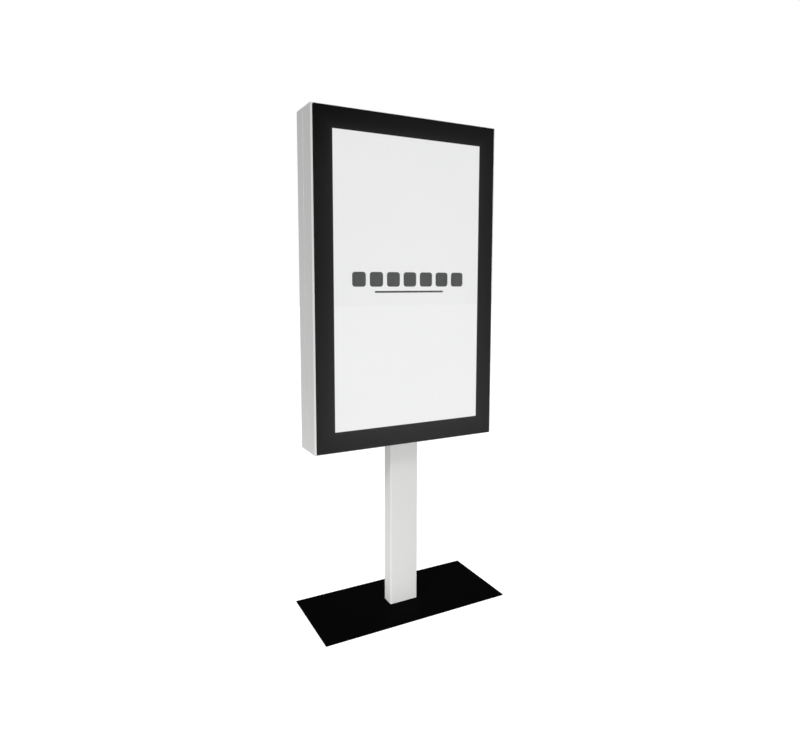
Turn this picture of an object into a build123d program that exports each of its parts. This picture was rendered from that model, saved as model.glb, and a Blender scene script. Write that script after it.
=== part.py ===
"""Free-standing touchscreen kiosk: a portrait display head on a slim column and a flat base plate.

Millimetres. +Z is up, the glass faces -Y, and the origin lies on the floor under the base's centre.
"""
from build123d import *
import os

os.makedirs("parts", exist_ok=True)

# ---------------------------------------------------------------- driving dimensions: outside
front_frame_depth = 80.0
rear_housing_depth = 62.0
rear_step = 1.2  # the rear housing stands this far out past the front frame, all round
shadow_gap = 3.0  # width and depth of the dark line between front frame and rear housing
head_front_reach = 64.0  # from the column's middle forward to the front frame's face
head_lift = 661.0  # from the base plate's top to the head's underside
head_corner = 2.0
sheet = 2.0  # housing sheet metal

base_width = 780.0
base_depth = 340.0
base_thickness = 4.0
base_edge = 0.5
pad_thickness = 1.0
pad_radius = 20.0

column_width = 120.0
column_depth = 56.0
column_wall = 3.0
column_corner = 4.0
column_slot_clearance = 1.0
column_top_margin = 24.0  # column above the highest bar that it carries

# ---------------------------------------------------------------- driving dimensions: front
window_width = 617.0
window_height = 1074.0
border_side = 69.5  # black border left and right of the window
border_end = 75.5  # black border above and below the window
bezel_proud = 11.0  # glass face in front of the front frame's face
bezel_margin = 5.5  # the front frame's bevelled edge, seen round the black front
bezel_corner = 1.0
glass_thickness = 4.0
glass_chamfer = 0.5
film_inset = 0.5
border_film = 0.5
tape_thickness = 1.0
tape_width = 14.0
tape_inset = 3.0
sensor_thickness = 0.7
sensor_overlap = 11.5
bezel_flange = 25.0
bezel_foot = 15.0
face_flange = 55.0
seam_flange = 14.0

# ---------------------------------------------------------------- driving dimensions: display
display_air_gap = 0.8
cell_thickness = 2.0
cell_edge = 5.0  # the cell's own border beyond the lit window
guide_thickness = 4.0
chassis_depth = 22.0
chassis_wall = 1.5
chassis_fit = 1.5  # room between cell and chassis wall
led_strips_count = 9
led_strip_height = 14.0

# ---------------------------------------------------------------- driving dimensions: structure
bar_height = 60.0
bar_wall = 2.5
bar_first = 130.0  # lowest bar's centre above the head's underside
bar_pitch = 310.0
bars_on_column = 3
bar_top_drop = 156.0  # highest bar's centre below the head's top
upright_width = 24.0
upright_thickness = 4.0
upright_inset = 48.5  # upright's middle in from the front frame's wall
equipment_sheet = 2.0
equipment_column_gap = 18.0
equipment_upright_gap = 5.0
bracket_leg = 32.0
foot_height = 30.0
foot_hole_x = 38.0
foot_hole_y = 14.0

# ---------------------------------------------------------------- driving dimensions: service door
door_side_margin = 103.5  # housing beside the door
door_bottom = 90.0  # above the head's underside
door_top_drop = 266.0  # door's upper edge below the head's top
door_gap = 2.0
lip_depth = 10.0  # folded lip of the opening and of the door
hinge_length = 80.0
hinge_barrel_radius = 4.5
hinge_pin_radius = 2.0
hinge_leaf_sheet = 2.0
hinge_leaf_width = 26.0
hinge_knuckles = 5
hinge_knuckle_gap = 0.4
hinge_inset = 110.0  # outer hinges' middles in from the door's ends
hinge_line_offset = 1.0  # hinge line beyond the edge of the opening
lock_end_inset = 220.0  # lock centres in from the door's ends
lock_inset = 26.0  # lock centre in from the door's free edge
lock_radius = 9.5
lock_core_radius = 6.5
lock_flange = 2.5  # width and thickness of the lock's outer rim
lock_nut_wall = 4.5
lock_nut_depth = 4.0
cam_length = 42.0
cam_width = 14.0
cam_thickness = 3.0
cam_clearance = 0.5

# ---------------------------------------------------------------- driving dimensions: cooling
fan_size = 80.0
fan_depth = 25.0
fan_bore = 38.0
fan_screw_pitch = 71.5
fan_x = 120.0
fan_top_drop = 136.0  # fan centres below the head's top
fan_blades = 7
fan_tip_gap = 1.5
vent_slot = 4.0
vent_slot_length = 80.0
vent_slots = 26
vent_pitch = 15.0
vent_level = 100.0  # slot centres above the door's lower edge

# ---------------------------------------------------------------- driving dimensions: electrics
power_supply_size = (215.0, 50.0, 115.0)
power_supply_level = 300.0
player_size = (180.0, 38.0, 180.0)
player_level = 250.0
player_button_radius = 5.0
display_board_size = (190.0, 1.6, 110.0)
display_board_level = 560.0
touch_board_size = (96.0, 1.6, 44.0)
touch_board_level = 590.0
case_sheet = 1.2
inlet_level = 150.0
inlet_x = -200.0
outlet_level = 70.0  # column's cable outlet above the base plate
outlet_radius = 16.0

# ---------------------------------------------------------------- clearances
screw_clearance = 0.3
running_clearance = 0.05
fit_clearance = 0.5

# ---------------------------------------------------------------- derived levels and planes
front_width = window_width + 2 * border_side
front_height = window_height + 2 * border_end
head_width = front_width + 2 * bezel_margin
head_height = front_height + 2 * bezel_margin
rear_width = head_width + 2 * rear_step
rear_height = head_height + 2 * rear_step
plate_bottom = pad_thickness
plate_top = plate_bottom + base_thickness
head_bottom = plate_top + head_lift
head_top = head_bottom + head_height
head_middle = head_bottom + head_height / 2
frame_front_y = -head_front_reach
frame_back_y = frame_front_y + front_frame_depth
rear_front_y = frame_back_y + shadow_gap
rear_back_y = rear_front_y + rear_housing_depth
column_front_y = -column_depth / 2
column_back_y = column_depth / 2

glass_front_y = frame_front_y - bezel_proud
glass_back_y = glass_front_y + glass_thickness
film_back_y = glass_back_y + border_film
tape_back_y = film_back_y + tape_thickness
sensor_back_y = film_back_y + sensor_thickness
cell_front_y = sensor_back_y + display_air_gap
cell_back_y = cell_front_y + cell_thickness
cell_width = window_width + 2 * cell_edge
cell_height = window_height + 2 * cell_edge
guide_back_y = cell_back_y + guide_thickness
chassis_width = cell_width + 2 * (chassis_fit + chassis_wall)
chassis_height = cell_height + 2 * (chassis_fit + chassis_wall)
chassis_back_y = cell_front_y + chassis_depth

wall_inside_x = head_width / 2 - sheet
bar_end_x = wall_inside_x - sheet - fit_clearance
upright_x = wall_inside_x - upright_inset
equipment_x = (column_width / 2 + equipment_column_gap,
               upright_x - upright_width / 2 - equipment_upright_gap)
bar_centres = [head_bottom + bar_first + index * bar_pitch for index in range(bars_on_column)]
bar_centres.append(head_top - bar_top_drop)
column_top = bar_centres[bars_on_column - 1] + bar_height / 2 + column_top_margin
web_front_y = column_front_y - bar_wall
equipment_back_y = column_front_y + equipment_sheet

door_width = head_width - 2 * door_side_margin
door_low_z = head_bottom + door_bottom
door_high_z = head_top - door_top_drop
door_height = door_high_z - door_low_z
door_middle = (door_low_z + door_high_z) / 2
door_edge_x = door_width / 2
opening_edge_x = door_edge_x + door_gap
hinge_x = opening_edge_x + hinge_line_offset
hinge_y = rear_back_y + hinge_barrel_radius
lip_end_y = rear_back_y - lip_depth
cam_back_y = lip_end_y - cam_clearance
cam_front_y = cam_back_y - cam_thickness
lock_x = -door_edge_x + lock_inset
fan_z = head_top - fan_top_drop
fan_front_y = rear_back_y - sheet - fan_depth
fan_back_y = rear_back_y - sheet

# ---------------------------------------------------------------- small shapes
screw_head_ratio = 1.9  # a head's radius over its shank's
cone_ratio = 1.1  # a countersunk head's height over its shank's radius


def block(x0, x1, y0, y1, z0, z1):
    """Box between two opposite corners."""
    middle = Pos((x0 + x1) / 2, (y0 + y1) / 2, (z0 + z1) / 2)
    return middle * Box(x1 - x0, y1 - y0, z1 - z0)


def rod_x(x0, x1, y, z, radius):
    """Round bar along X."""
    return Pos((x0 + x1) / 2, y, z) * Rot(0, 90, 0) * Cylinder(radius, x1 - x0)


def rod_y(x, y0, y1, z, radius):
    """Round bar along Y."""
    return Pos(x, (y0 + y1) / 2, z) * Rot(90, 0, 0) * Cylinder(radius, y1 - y0)


def rod_z(x, y, z0, z1, radius):
    """Round bar along Z."""
    return Pos(x, y, (z0 + z1) / 2) * Cylinder(radius, z1 - z0)


def panel(width, height, y0, y1, middle_z, corner=0.0, x=0.0):
    """Upright flat panel that faces -Y, its corners rounded if asked."""
    if corner > 0:
        outline = RectangleRounded(width, height, corner)
    else:
        outline = Rectangle(width, height)
    return Pos(x, y1, middle_z) * Rot(90, 0, 0) * extrude(outline, amount=y1 - y0)


def ring(width, height, border, y0, y1, middle_z=head_middle, corner=0.0):
    """Upright rectangular frame, its border the same all round."""
    outer = panel(width, height, y0, y1, middle_z, corner)
    inner = panel(width - 2 * border, height - 2 * border, y0 - 1, y1 + 1, middle_z)
    return outer - inner


def bevelled(width, height, y0, y1, bevel):
    """Upright block round the head's middle whose front edges are bevelled."""
    body = panel(width, height, y0, y1, head_middle)
    return chamfer(body.edges().group_by(Axis.Y)[0], bevel)


def mirror_x(shape):
    """The same shape on the other side of the middle plane."""
    return mirror(shape, about=Plane.YZ)


def pan_screw(point, direction, radius, length):
    """Pan-head screw whose head sits at a point and whose shank runs along a direction."""
    cap_height = radius * 1.2
    shank = Pos(0, 0, length / 2) * Cylinder(radius, length)
    head = Pos(0, 0, -cap_height / 2) * Cylinder(radius * screw_head_ratio, cap_height)
    rim = head.edges().group_by(Axis.Z)[0]
    head = fillet(rim, cap_height * 0.45)
    socket = Pos(0, 0, -cap_height) * extrude(
        RegularPolygon(radius * 0.7, 6), amount=cap_height * 0.6)
    return Plane(origin=point, z_dir=direction) * (shank + head - socket)


def countersunk_screw(point, direction, radius, length):
    """Countersunk screw whose flat head is flush at a point."""
    cone_height = radius * cone_ratio
    shank = Pos(0, 0, length / 2) * Cylinder(radius, length)
    head = Pos(0, 0, cone_height / 2) * Cone(radius * screw_head_ratio, radius, cone_height)
    socket = extrude(RegularPolygon(radius * 0.8, 6), amount=cone_height * 0.7)
    return Plane(origin=point, z_dir=direction) * (shank + head - socket)


def countersink(point, direction, radius, depth):
    """Cutter for a countersunk screw: its hole and the flared mouth."""
    mouth_depth = radius * cone_ratio + screw_clearance
    hole = Pos(0, 0, depth / 2) * Cylinder(radius + screw_clearance, depth)
    mouth = Pos(0, 0, mouth_depth / 2) * Cone(
        radius * screw_head_ratio + 2 * screw_clearance, radius + screw_clearance, mouth_depth)
    return Plane(origin=point, z_dir=direction) * (hole + mouth)


def save(name, shapes):
    """Write one node, made of one solid or of several alike."""
    group = shapes if isinstance(shapes, list) else [shapes]
    solids = [solid for shape in group for solid in shape.solids()]
    whole = solids[0] if len(solids) == 1 else Compound(children=solids)
    export_step(whole, f"parts/{name}.step")
    print(name, len(solids))


# ---------------------------------------------------------------- base
foot_bolt_radius = 3.0
foot_bolt_length = 22.0
foot_points = [(x, y) for x in (-foot_hole_x, foot_hole_x) for y in (-foot_hole_y, foot_hole_y)]


def make_base():
    """Steel plate on thin rubber pads, with the column's foot bolted on from below."""
    plate = block(-base_width / 2, base_width / 2, -base_depth / 2, base_depth / 2,
                  plate_bottom, plate_top)
    plate = chamfer(plate.edges(), base_edge)
    for x, y in foot_points:
        plate -= countersink((x, y, plate_bottom), (0, 0, 1), foot_bolt_radius, base_thickness + 1)
    save("base_plate", plate)
    pad_x = base_width / 2 - pad_radius - 10
    pad_y = base_depth / 2 - pad_radius - 10
    pads = []
    for x in (-pad_x, 0, pad_x):
        for y in (-pad_y, pad_y):
            pads.append(rod_z(x, y, 0, plate_bottom, pad_radius))
    save("base_pads", pads)
    screws = []
    for x, y in foot_points:
        screws.append(countersunk_screw((x, y, plate_bottom), (0, 0, 1),
                                        foot_bolt_radius, foot_bolt_length))
    save("base_screws", screws)


# ---------------------------------------------------------------- column
column_bolt_radius = 4.0
column_bolt_x = 32.0
nut_depth = 7.0


def column_outline(width, depth, corner):
    """Rounded rectangle of the column's section."""
    return RectangleRounded(width, depth, corner)


def make_column():
    """Rectangular tube with its welded foot, cable outlet and top cap."""
    height = column_top - plate_top
    tube = extrude(column_outline(column_width, column_depth, column_corner), amount=height)
    bore = extrude(column_outline(column_width - 2 * column_wall, column_depth - 2 * column_wall,
                                  column_corner - column_wall), amount=height)
    tube = Pos(0, 0, plate_top) * (tube - bore)
    outlet_z = plate_top + outlet_level
    tube -= rod_y(0, 0, column_depth, outlet_z, outlet_radius)
    for level in bar_centres[:bars_on_column]:
        for x in (-column_bolt_x, column_bolt_x):
            tube -= rod_y(x, -column_depth, 0, level, column_bolt_radius + screw_clearance)
    save("column_tube", tube)

    foot_width = column_width - 2 * column_wall
    foot_depth = column_depth - 2 * column_wall
    foot = Pos(0, 0, plate_top) * extrude(
        column_outline(foot_width, foot_depth, column_corner - column_wall), amount=foot_height)
    for x, y in foot_points:
        foot -= rod_z(x, y, plate_top - 1, plate_top + foot_bolt_length, foot_bolt_radius + 0.1)
    save("column_foot", foot)

    cap_thickness = 3.0
    cap_skirt = 12.0
    cap = Pos(0, 0, column_top) * extrude(
        column_outline(column_width, column_depth, column_corner), amount=cap_thickness)
    skirt_width = column_width - 2 * column_wall - 2 * fit_clearance
    skirt_depth = column_depth - 2 * column_wall - 2 * fit_clearance
    cap += block(-skirt_width / 2, skirt_width / 2, -skirt_depth / 2, skirt_depth / 2,
                 column_top - cap_skirt, column_top)
    cap -= block(-skirt_width / 2 + 2, skirt_width / 2 - 2, -skirt_depth / 2 + 2,
                 skirt_depth / 2 - 2, column_top - cap_skirt - 1, column_top)
    cap -= rod_z(0, 0, column_top - 1, column_top + cap_thickness + 1, outlet_radius)
    save("column_cap", cap)

    lip = 3.0
    wall_in = column_back_y - column_wall
    grommet = rod_y(0, wall_in - 2, column_back_y + 2, outlet_z, outlet_radius + lip)
    grommet -= rod_y(0, wall_in, column_back_y, outlet_z, outlet_radius + lip + 1) - rod_y(
        0, wall_in, column_back_y, outlet_z, outlet_radius - 0.1)
    grommet -= rod_y(0, wall_in - 5, column_back_y + 5, outlet_z, outlet_radius - lip)
    save("cable_grommet", grommet)

    bolts = []
    for level in bar_centres[:bars_on_column]:
        for x in (-column_bolt_x, column_bolt_x):
            bolts.append(pan_screw((x, web_front_y, level), (0, 1, 0), column_bolt_radius, 22.0))
            nut_y = column_front_y + column_wall
            nut = Plane(origin=(x, nut_y, level), z_dir=(0, 1, 0)) * extrude(
                RegularPolygon(7.5, 6), amount=nut_depth)
            bolts.append(nut - rod_y(x, nut_y - 1, nut_y + nut_depth + 1, level,
                                     column_bolt_radius + 0.1))
    save("column_bolts", bolts)


# ---------------------------------------------------------------- head shell
seam_screw_radius = 2.0
seam_x = head_width / 2 - seam_flange / 2 - 1.5
seam_z = head_height / 2 - seam_flange / 2 - 1.5
seam_points = [(side * seam_x, head_middle + part * seam_z * 0.9)
               for side in (-1, 1) for part in (-1, -0.5, 0, 0.5, 1)]
seam_points += [(part * head_width / 2, head_middle + side * seam_z)
                for side in (-1, 1) for part in (-0.66, -0.33, 0.33, 0.66)]


def column_slot(y0, y1):
    """Cutter for the notch that lets the column into the head's underside."""
    half = column_width / 2 + column_slot_clearance
    low = max(y0, column_front_y - column_slot_clearance)
    high = min(y1, column_back_y + column_slot_clearance)
    return block(-half, half, low, high, head_bottom - rear_step - 1,
                 head_bottom + seam_flange + 6)


def make_front_frame():
    """Folded sheet frame with a bevelled front edge, which the front and display hang in."""
    inner_bevel = bezel_margin - sheet * (2 - 2 ** 0.5)
    frame = bevelled(head_width, head_height, frame_front_y, frame_back_y, bezel_margin)
    frame -= bevelled(head_width - 2 * sheet, head_height - 2 * sheet, frame_front_y + sheet,
                      frame_back_y + 1, inner_bevel)
    frame -= panel(head_width - 2 * face_flange, head_height - 2 * face_flange,
                   frame_front_y - 1, frame_front_y + sheet + 1, head_middle)
    frame += ring(head_width - sheet, head_height - sheet, seam_flange, frame_back_y - sheet,
                  frame_back_y)
    frame -= column_slot(frame_front_y + sheet, frame_back_y + 1)
    for x, z in seam_points:
        frame -= rod_y(x, frame_back_y - sheet - 1, frame_back_y + 1, z,
                       seam_screw_radius + 0.1)
    for x, z in bezel_points:
        frame -= rod_y(x, frame_front_y - 1, frame_front_y + sheet + 1, z,
                       bezel_screw_radius + screw_clearance)
    save("front_frame", frame)


def make_seam():
    """Foam gasket in the shadow gap; returns the screws that pull both halves together."""
    gasket = ring(head_width - 2 * shadow_gap, head_height - 2 * shadow_gap,
                  seam_flange - shadow_gap, frame_back_y, rear_front_y)
    gasket -= column_slot(frame_back_y - 1, rear_front_y + 1)
    for x, z in seam_points:
        gasket -= rod_y(x, frame_back_y - 1, rear_front_y + 1, z,
                        seam_screw_radius + screw_clearance)
    save("seam_gasket", gasket)
    return [pan_screw((x, rear_front_y + sheet, z), (0, -1, 0), seam_screw_radius, 12.0)
            for x, z in seam_points]


def make_rear_housing():
    """Folded sheet tray behind the seam, with the service opening and two fan outlets."""
    tray = ring(rear_width, rear_height, sheet, rear_front_y, rear_back_y, corner=head_corner)
    tray += ring(rear_width - sheet, rear_height - sheet, seam_flange + rear_step, rear_front_y,
                 rear_front_y + sheet)
    tray += panel(rear_width, rear_height, rear_back_y - sheet, rear_back_y, head_middle,
                  head_corner)
    opening_width = door_width + 2 * door_gap
    opening_height = door_height + 2 * door_gap
    tray += ring(opening_width + 2 * sheet, opening_height + 2 * sheet, sheet, lip_end_y,
                 rear_back_y, door_middle)
    tray -= panel(opening_width, opening_height, lip_end_y - 1, rear_back_y + 1, door_middle)
    tray -= column_slot(rear_front_y - 1, rear_back_y)
    for x, z in seam_points:
        tray -= rod_y(x, rear_front_y - 1, rear_front_y + sheet + 1, z,
                      seam_screw_radius + screw_clearance)
    for x in (-fan_x, fan_x):
        tray -= rod_y(x, fan_back_y - 1, rear_back_y + 1, fan_z, fan_bore)
        for point_x, point_z in fan_screw_points(x):
            tray -= rod_y(point_x, fan_back_y - 1, rear_back_y + 1, point_z,
                          fan_screw_radius + screw_clearance)
    for x, z in hinge_screw_points(hinge_x + hinge_screw_offset):
        tray -= rod_y(x, rear_back_y - sheet - 1, rear_back_y + 1, z,
                      hinge_screw_radius + 0.1)
    save("rear_housing", tray)


# ---------------------------------------------------------------- glass front
bezel_screw_radius = 2.0
bezel_room = frame_front_y - tape_back_y - 2 * sheet  # between the bezel's flange and its foot
bezel_screw_length = 2 * sheet + bezel_room / 2
bezel_screw_x = front_width / 2 - bezel_foot / 2 - 1
bezel_screw_z = front_height / 2 - bezel_foot / 2 - 1
bezel_points = [(side * bezel_screw_x, head_middle + part * bezel_screw_z * 0.9)
                for side in (-1, 1) for part in (-1, -0.5, 0, 0.5, 1)]
bezel_points += [(part * front_width / 2, head_middle + side * bezel_screw_z)
                 for side in (-1, 1) for part in (-0.6, 0, 0.6)]


def make_front():
    """Black front proud of the frame: glass, border, tape and bezel; returns its screws."""
    glass = panel(front_width, front_height, glass_front_y, glass_back_y, head_middle,
                  bezel_corner)
    glass = chamfer(glass.edges().group_by(Axis.Y)[0], glass_chamfer)
    save("front_glass", glass)

    film = panel(front_width - 2 * film_inset, front_height - 2 * film_inset, glass_back_y,
                 film_back_y, head_middle)
    film -= panel(window_width, window_height, glass_back_y - 1, film_back_y + 1, head_middle)
    save("glass_border", film)

    tape = ring(front_width - 2 * tape_inset, front_height - 2 * tape_inset, tape_width,
                film_back_y, tape_back_y)
    save("glass_tape", tape)

    sensor = panel(window_width + 2 * sensor_overlap, window_height + 2 * sensor_overlap,
                   film_back_y, sensor_back_y, head_middle)
    save("touch_sensor", sensor)

    bezel = ring(front_width, front_height, sheet, tape_back_y, frame_front_y,
                 corner=bezel_corner)
    bezel += ring(front_width - sheet, front_height - sheet, bezel_flange, tape_back_y,
                  tape_back_y + sheet)
    bezel += ring(front_width - sheet, front_height - sheet, bezel_foot, frame_front_y - sheet,
                  frame_front_y)
    for x, z in bezel_points:
        bezel -= rod_y(x, frame_front_y - sheet - 1, frame_front_y + 1, z,
                       bezel_screw_radius + 0.1)
    save("bezel_frame", bezel)

    return [pan_screw((x, frame_front_y + sheet, z), (0, -1, 0), bezel_screw_radius,
                      bezel_screw_length) for x, z in bezel_points]


# ---------------------------------------------------------------- display
standoff_radius = 4.5
standoff_x = 200.0
display_screw_radius = 2.0
display_screw_grip = 1.2
standoff_points = [(x, level) for level in bar_centres[:3] for x in (-standoff_x, standoff_x)]


def make_display():
    """Display module: cell, light guide, back tray and lamps; returns spacers and screws."""
    cell = panel(cell_width, cell_height, cell_front_y, cell_back_y, head_middle)
    save("lcd_cell", cell)
    guide = panel(cell_width, cell_height, cell_back_y, guide_back_y, head_middle)
    save("light_guide", guide)

    tray = ring(chassis_width, chassis_height, chassis_wall, cell_front_y, chassis_back_y)
    tray += panel(chassis_width, chassis_height, chassis_back_y - chassis_wall, chassis_back_y,
                  head_middle)
    ledge = 4.0
    tray += ring(chassis_width, chassis_height, ledge + chassis_fit, guide_back_y,
                 guide_back_y + chassis_wall)
    for x, z in standoff_points:
        tray -= rod_y(x, chassis_back_y - chassis_wall - 1, chassis_back_y + 1, z,
                      display_screw_radius + 0.1)
    save("lcd_chassis", tray)

    strips = []
    tray_floor_y = chassis_back_y - chassis_wall
    pitch = cell_height / led_strips_count
    for row in range(led_strips_count):
        middle = head_middle + (row - (led_strips_count - 1) / 2) * pitch
        strip = block(-window_width / 2, window_width / 2, tray_floor_y - 1.6, tray_floor_y,
                      middle - led_strip_height / 2, middle + led_strip_height / 2)
        for lamp in range(8):
            x = (lamp - 3.5) * window_width / 8
            strip += rod_y(x, tray_floor_y - 5.0, tray_floor_y - 1.0, middle, 5.0)
        strips.append(strip)
    save("led_strips", strips)

    standoffs = []
    screws = []
    for x, z in standoff_points:
        spacer = rod_y(x, chassis_back_y, web_front_y, z, standoff_radius)
        standoffs.append(spacer - rod_y(x, chassis_back_y - 1, web_front_y + 1, z,
                                        display_screw_radius + 0.1))
        screws.append(pan_screw((x, column_front_y, z), (0, -1, 0), display_screw_radius,
                                column_front_y - chassis_back_y + display_screw_grip))
    return standoffs, screws


# ---------------------------------------------------------------- mounting frame
frame_screw_radius = 2.5
frame_screw_length = 8.0
bracket_screw_x = bar_end_x - 16.0
equipment_screw_x = (equipment_x[0] + 12.0, equipment_x[1] - 12.0)
equipment_bars = (0, 1, 2)


def crossbar(level):
    """Channel across the head, open to the front."""
    low = level - bar_height / 2
    high = level + bar_height / 2
    bar = block(-bar_end_x, bar_end_x, chassis_back_y, column_front_y, low, high)
    bar -= block(-bar_end_x - 1, bar_end_x + 1, chassis_back_y - 1, web_front_y,
                 low + bar_wall, high - bar_wall)
    return bar


def make_mounting_frame():
    """Crossbars, uprights, end brackets and equipment plates; returns their screws."""
    screw_points = []
    for level in bar_centres:
        for side in (-1, 1):
            screw_points.append((side * bracket_screw_x, column_front_y + sheet, level))
            screw_points.append((side * upright_x, column_front_y + upright_thickness, level))
    for index in equipment_bars:
        for x in equipment_screw_x:
            for side in (-1, 1):
                screw_points.append((side * x, equipment_back_y, bar_centres[index]))

    bars = []
    for index, level in enumerate(bar_centres):
        bar = crossbar(level)
        if index < bars_on_column:
            for x in (-column_bolt_x, column_bolt_x):
                bar -= rod_y(x, web_front_y - 1, column_front_y + 1, level,
                             column_bolt_radius + screw_clearance)
        for x, z in standoff_points:
            if abs(z - level) < 1:
                bar -= rod_y(x, web_front_y - 1, column_front_y + 1, z,
                             display_screw_radius + screw_clearance)
        for x, y, z in screw_points:
            if abs(z - level) < 1:
                bar -= rod_y(x, web_front_y - 1, column_front_y + 1, z, frame_screw_radius + 0.1)
        bars.append(bar)
    save("crossbars", bars)

    low = bar_centres[0] - bar_height / 2
    high = bar_centres[-1] + bar_height / 2
    uprights = []
    for side in (-1, 1):
        centre = side * upright_x
        upright = block(centre - upright_width / 2, centre + upright_width / 2,
                        column_front_y, column_front_y + upright_thickness, low, high)
        for level in bar_centres:
            upright -= rod_y(centre, column_front_y - 1, column_front_y + upright_thickness + 1,
                             level, frame_screw_radius + screw_clearance)
        uprights.append(upright)
    save("uprights", uprights)

    brackets = []
    for level in bar_centres:
        low = level - bar_height / 2
        high = level + bar_height / 2
        leg = block(wall_inside_x - bracket_leg, wall_inside_x, column_front_y,
                    column_front_y + sheet, low, high)
        leg += block(wall_inside_x - sheet, wall_inside_x, chassis_back_y,
                     column_front_y + sheet, low, high)
        leg -= rod_y(bracket_screw_x, column_front_y - 1, column_front_y + sheet + 1, level,
                     frame_screw_radius + screw_clearance)
        brackets.append(leg)
        brackets.append(mirror_x(leg))
    save("frame_brackets", brackets)

    plates = []
    plate_low = bar_centres[equipment_bars[0]] - bar_height / 2
    plate_high = bar_centres[equipment_bars[-1]] + bar_height / 2
    plate = block(equipment_x[0], equipment_x[1], column_front_y, equipment_back_y,
                  plate_low, plate_high)
    for index in equipment_bars:
        for x in equipment_screw_x:
            plate -= rod_y(x, column_front_y - 1, equipment_back_y + 1, bar_centres[index],
                           frame_screw_radius + screw_clearance)
        plate -= rod_y(standoff_x, column_front_y - 1, equipment_back_y + 1,
                       bar_centres[index], standoff_radius + 2)
    plates.append(plate)
    plates.append(mirror_x(plate))
    save("equipment_plates", plates)

    return [pan_screw(point, (0, -1, 0), frame_screw_radius, frame_screw_length)
            for point in screw_points]


# ---------------------------------------------------------------- service door
hinge_screw_radius = 1.5
hinge_screw_offset = 18.0
hinge_centres = [door_low_z + hinge_inset, door_middle, door_high_z - hinge_inset]
lock_centres = [door_low_z + lock_end_inset, door_high_z - lock_end_inset]


def hinge_screw_points(x):
    """Screw places of the hinge leaves at one distance across."""
    return [(x, level + part * hinge_length * 0.32) for level in hinge_centres
            for part in (-1, 1)]


def hinge_leaf(level, side, knuckles):
    """One leaf: side is +1 on the housing and -1 on the door."""
    low = level - hinge_length / 2
    start = hinge_barrel_radius + screw_clearance + 0.4
    leaf_x = sorted((hinge_x + side * start, hinge_x + side * (start + hinge_leaf_width)))
    leaf = block(leaf_x[0], leaf_x[1], rear_back_y, rear_back_y + hinge_leaf_sheet, low,
                 low + hinge_length)
    pitch = hinge_length / hinge_knuckles
    for index in knuckles:
        z0 = low + index * pitch + hinge_knuckle_gap / 2
        z1 = low + (index + 1) * pitch - hinge_knuckle_gap / 2
        neck_x = sorted((hinge_x, hinge_x + side * (start + 0.5)))
        leaf += block(neck_x[0], neck_x[1], rear_back_y, rear_back_y + hinge_leaf_sheet, z0, z1)
        leaf += rod_z(hinge_x, hinge_y, z0, z1, hinge_barrel_radius)
    bore = hinge_pin_radius + running_clearance
    leaf -= rod_z(hinge_x, hinge_y, low - 1, low + hinge_length + 1, bore)
    for part in (-1, 1):
        point = (hinge_x + side * hinge_screw_offset, rear_back_y + hinge_leaf_sheet,
                 level + part * hinge_length * 0.32)
        leaf -= countersink(point, (0, -1, 0), hinge_screw_radius, hinge_leaf_sheet + 1)
    return leaf


def hinge_screws(side):
    """Countersunk screws of the leaves on one side of the hinge line."""
    return [countersunk_screw((x, rear_back_y + hinge_leaf_sheet, z), (0, -1, 0),
                              hinge_screw_radius, 8.0)
            for x, z in hinge_screw_points(hinge_x + side * hinge_screw_offset)]


def make_hinges():
    """Three butt hinges on housing and door; returns the housing's screws."""
    frame_knuckles = range(0, hinge_knuckles, 2)
    door_knuckles = range(1, hinge_knuckles, 2)
    save("hinge_frame_leaves", [hinge_leaf(level, 1, frame_knuckles) for level in hinge_centres])
    save("hinge_door_leaves", [hinge_leaf(level, -1, door_knuckles) for level in hinge_centres])
    pins = []
    for level in hinge_centres:
        low = level - hinge_length / 2
        pin = rod_z(hinge_x, hinge_y, low, low + hinge_length, hinge_pin_radius)
        pin += rod_z(hinge_x, hinge_y, low + hinge_length, low + hinge_length + 2,
                     hinge_barrel_radius - 1)
        pins.append(pin)
    save("hinge_pins", pins)
    save("hinge_door_screws", hinge_screws(-1))
    return hinge_screws(1)


filter_width = vent_slots * vent_pitch + 16.0
filter_height = vent_slot_length + 24.0
filter_thickness = 6.0
filter_z = door_low_z + vent_level


def make_door():
    """Folded door panel with intake slots, and the filter behind them."""
    door = panel(door_width, door_height, rear_back_y - sheet, rear_back_y, door_middle)
    door += ring(door_width, door_height, sheet, lip_end_y, rear_back_y, door_middle)
    slots = []
    for index in range(vent_slots):
        x = (index - (vent_slots - 1) / 2) * vent_pitch
        outline = Rot(0, 0, 90) * SlotOverall(vent_slot_length, vent_slot)
        cutter = Pos(x, rear_back_y + 1, filter_z) * Rot(90, 0, 0) * extrude(
            outline, amount=sheet + 2)
        slots.append(cutter)
    door -= slots
    for level in lock_centres:
        door -= rod_y(lock_x, rear_back_y - sheet - 1, rear_back_y + 1, level,
                      lock_radius + 0.2)
    for x, z in hinge_screw_points(hinge_x - hinge_screw_offset):
        door -= rod_y(x, rear_back_y - sheet - 1, rear_back_y + 1, z, hinge_screw_radius + 0.1)
    save("service_door", door)

    panel_in_y = rear_back_y - sheet
    pad = panel(filter_width - 4, filter_height - 4, panel_in_y - filter_thickness, panel_in_y,
                filter_z)
    save("intake_filter", pad)
    tray = ring(filter_width, filter_height, 1.2, panel_in_y - filter_thickness - 1.2,
                panel_in_y, filter_z)
    tray += ring(filter_width, filter_height, 10.0, panel_in_y - filter_thickness - 1.2,
                 panel_in_y - filter_thickness, filter_z)
    save("filter_frame", tray)


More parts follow.
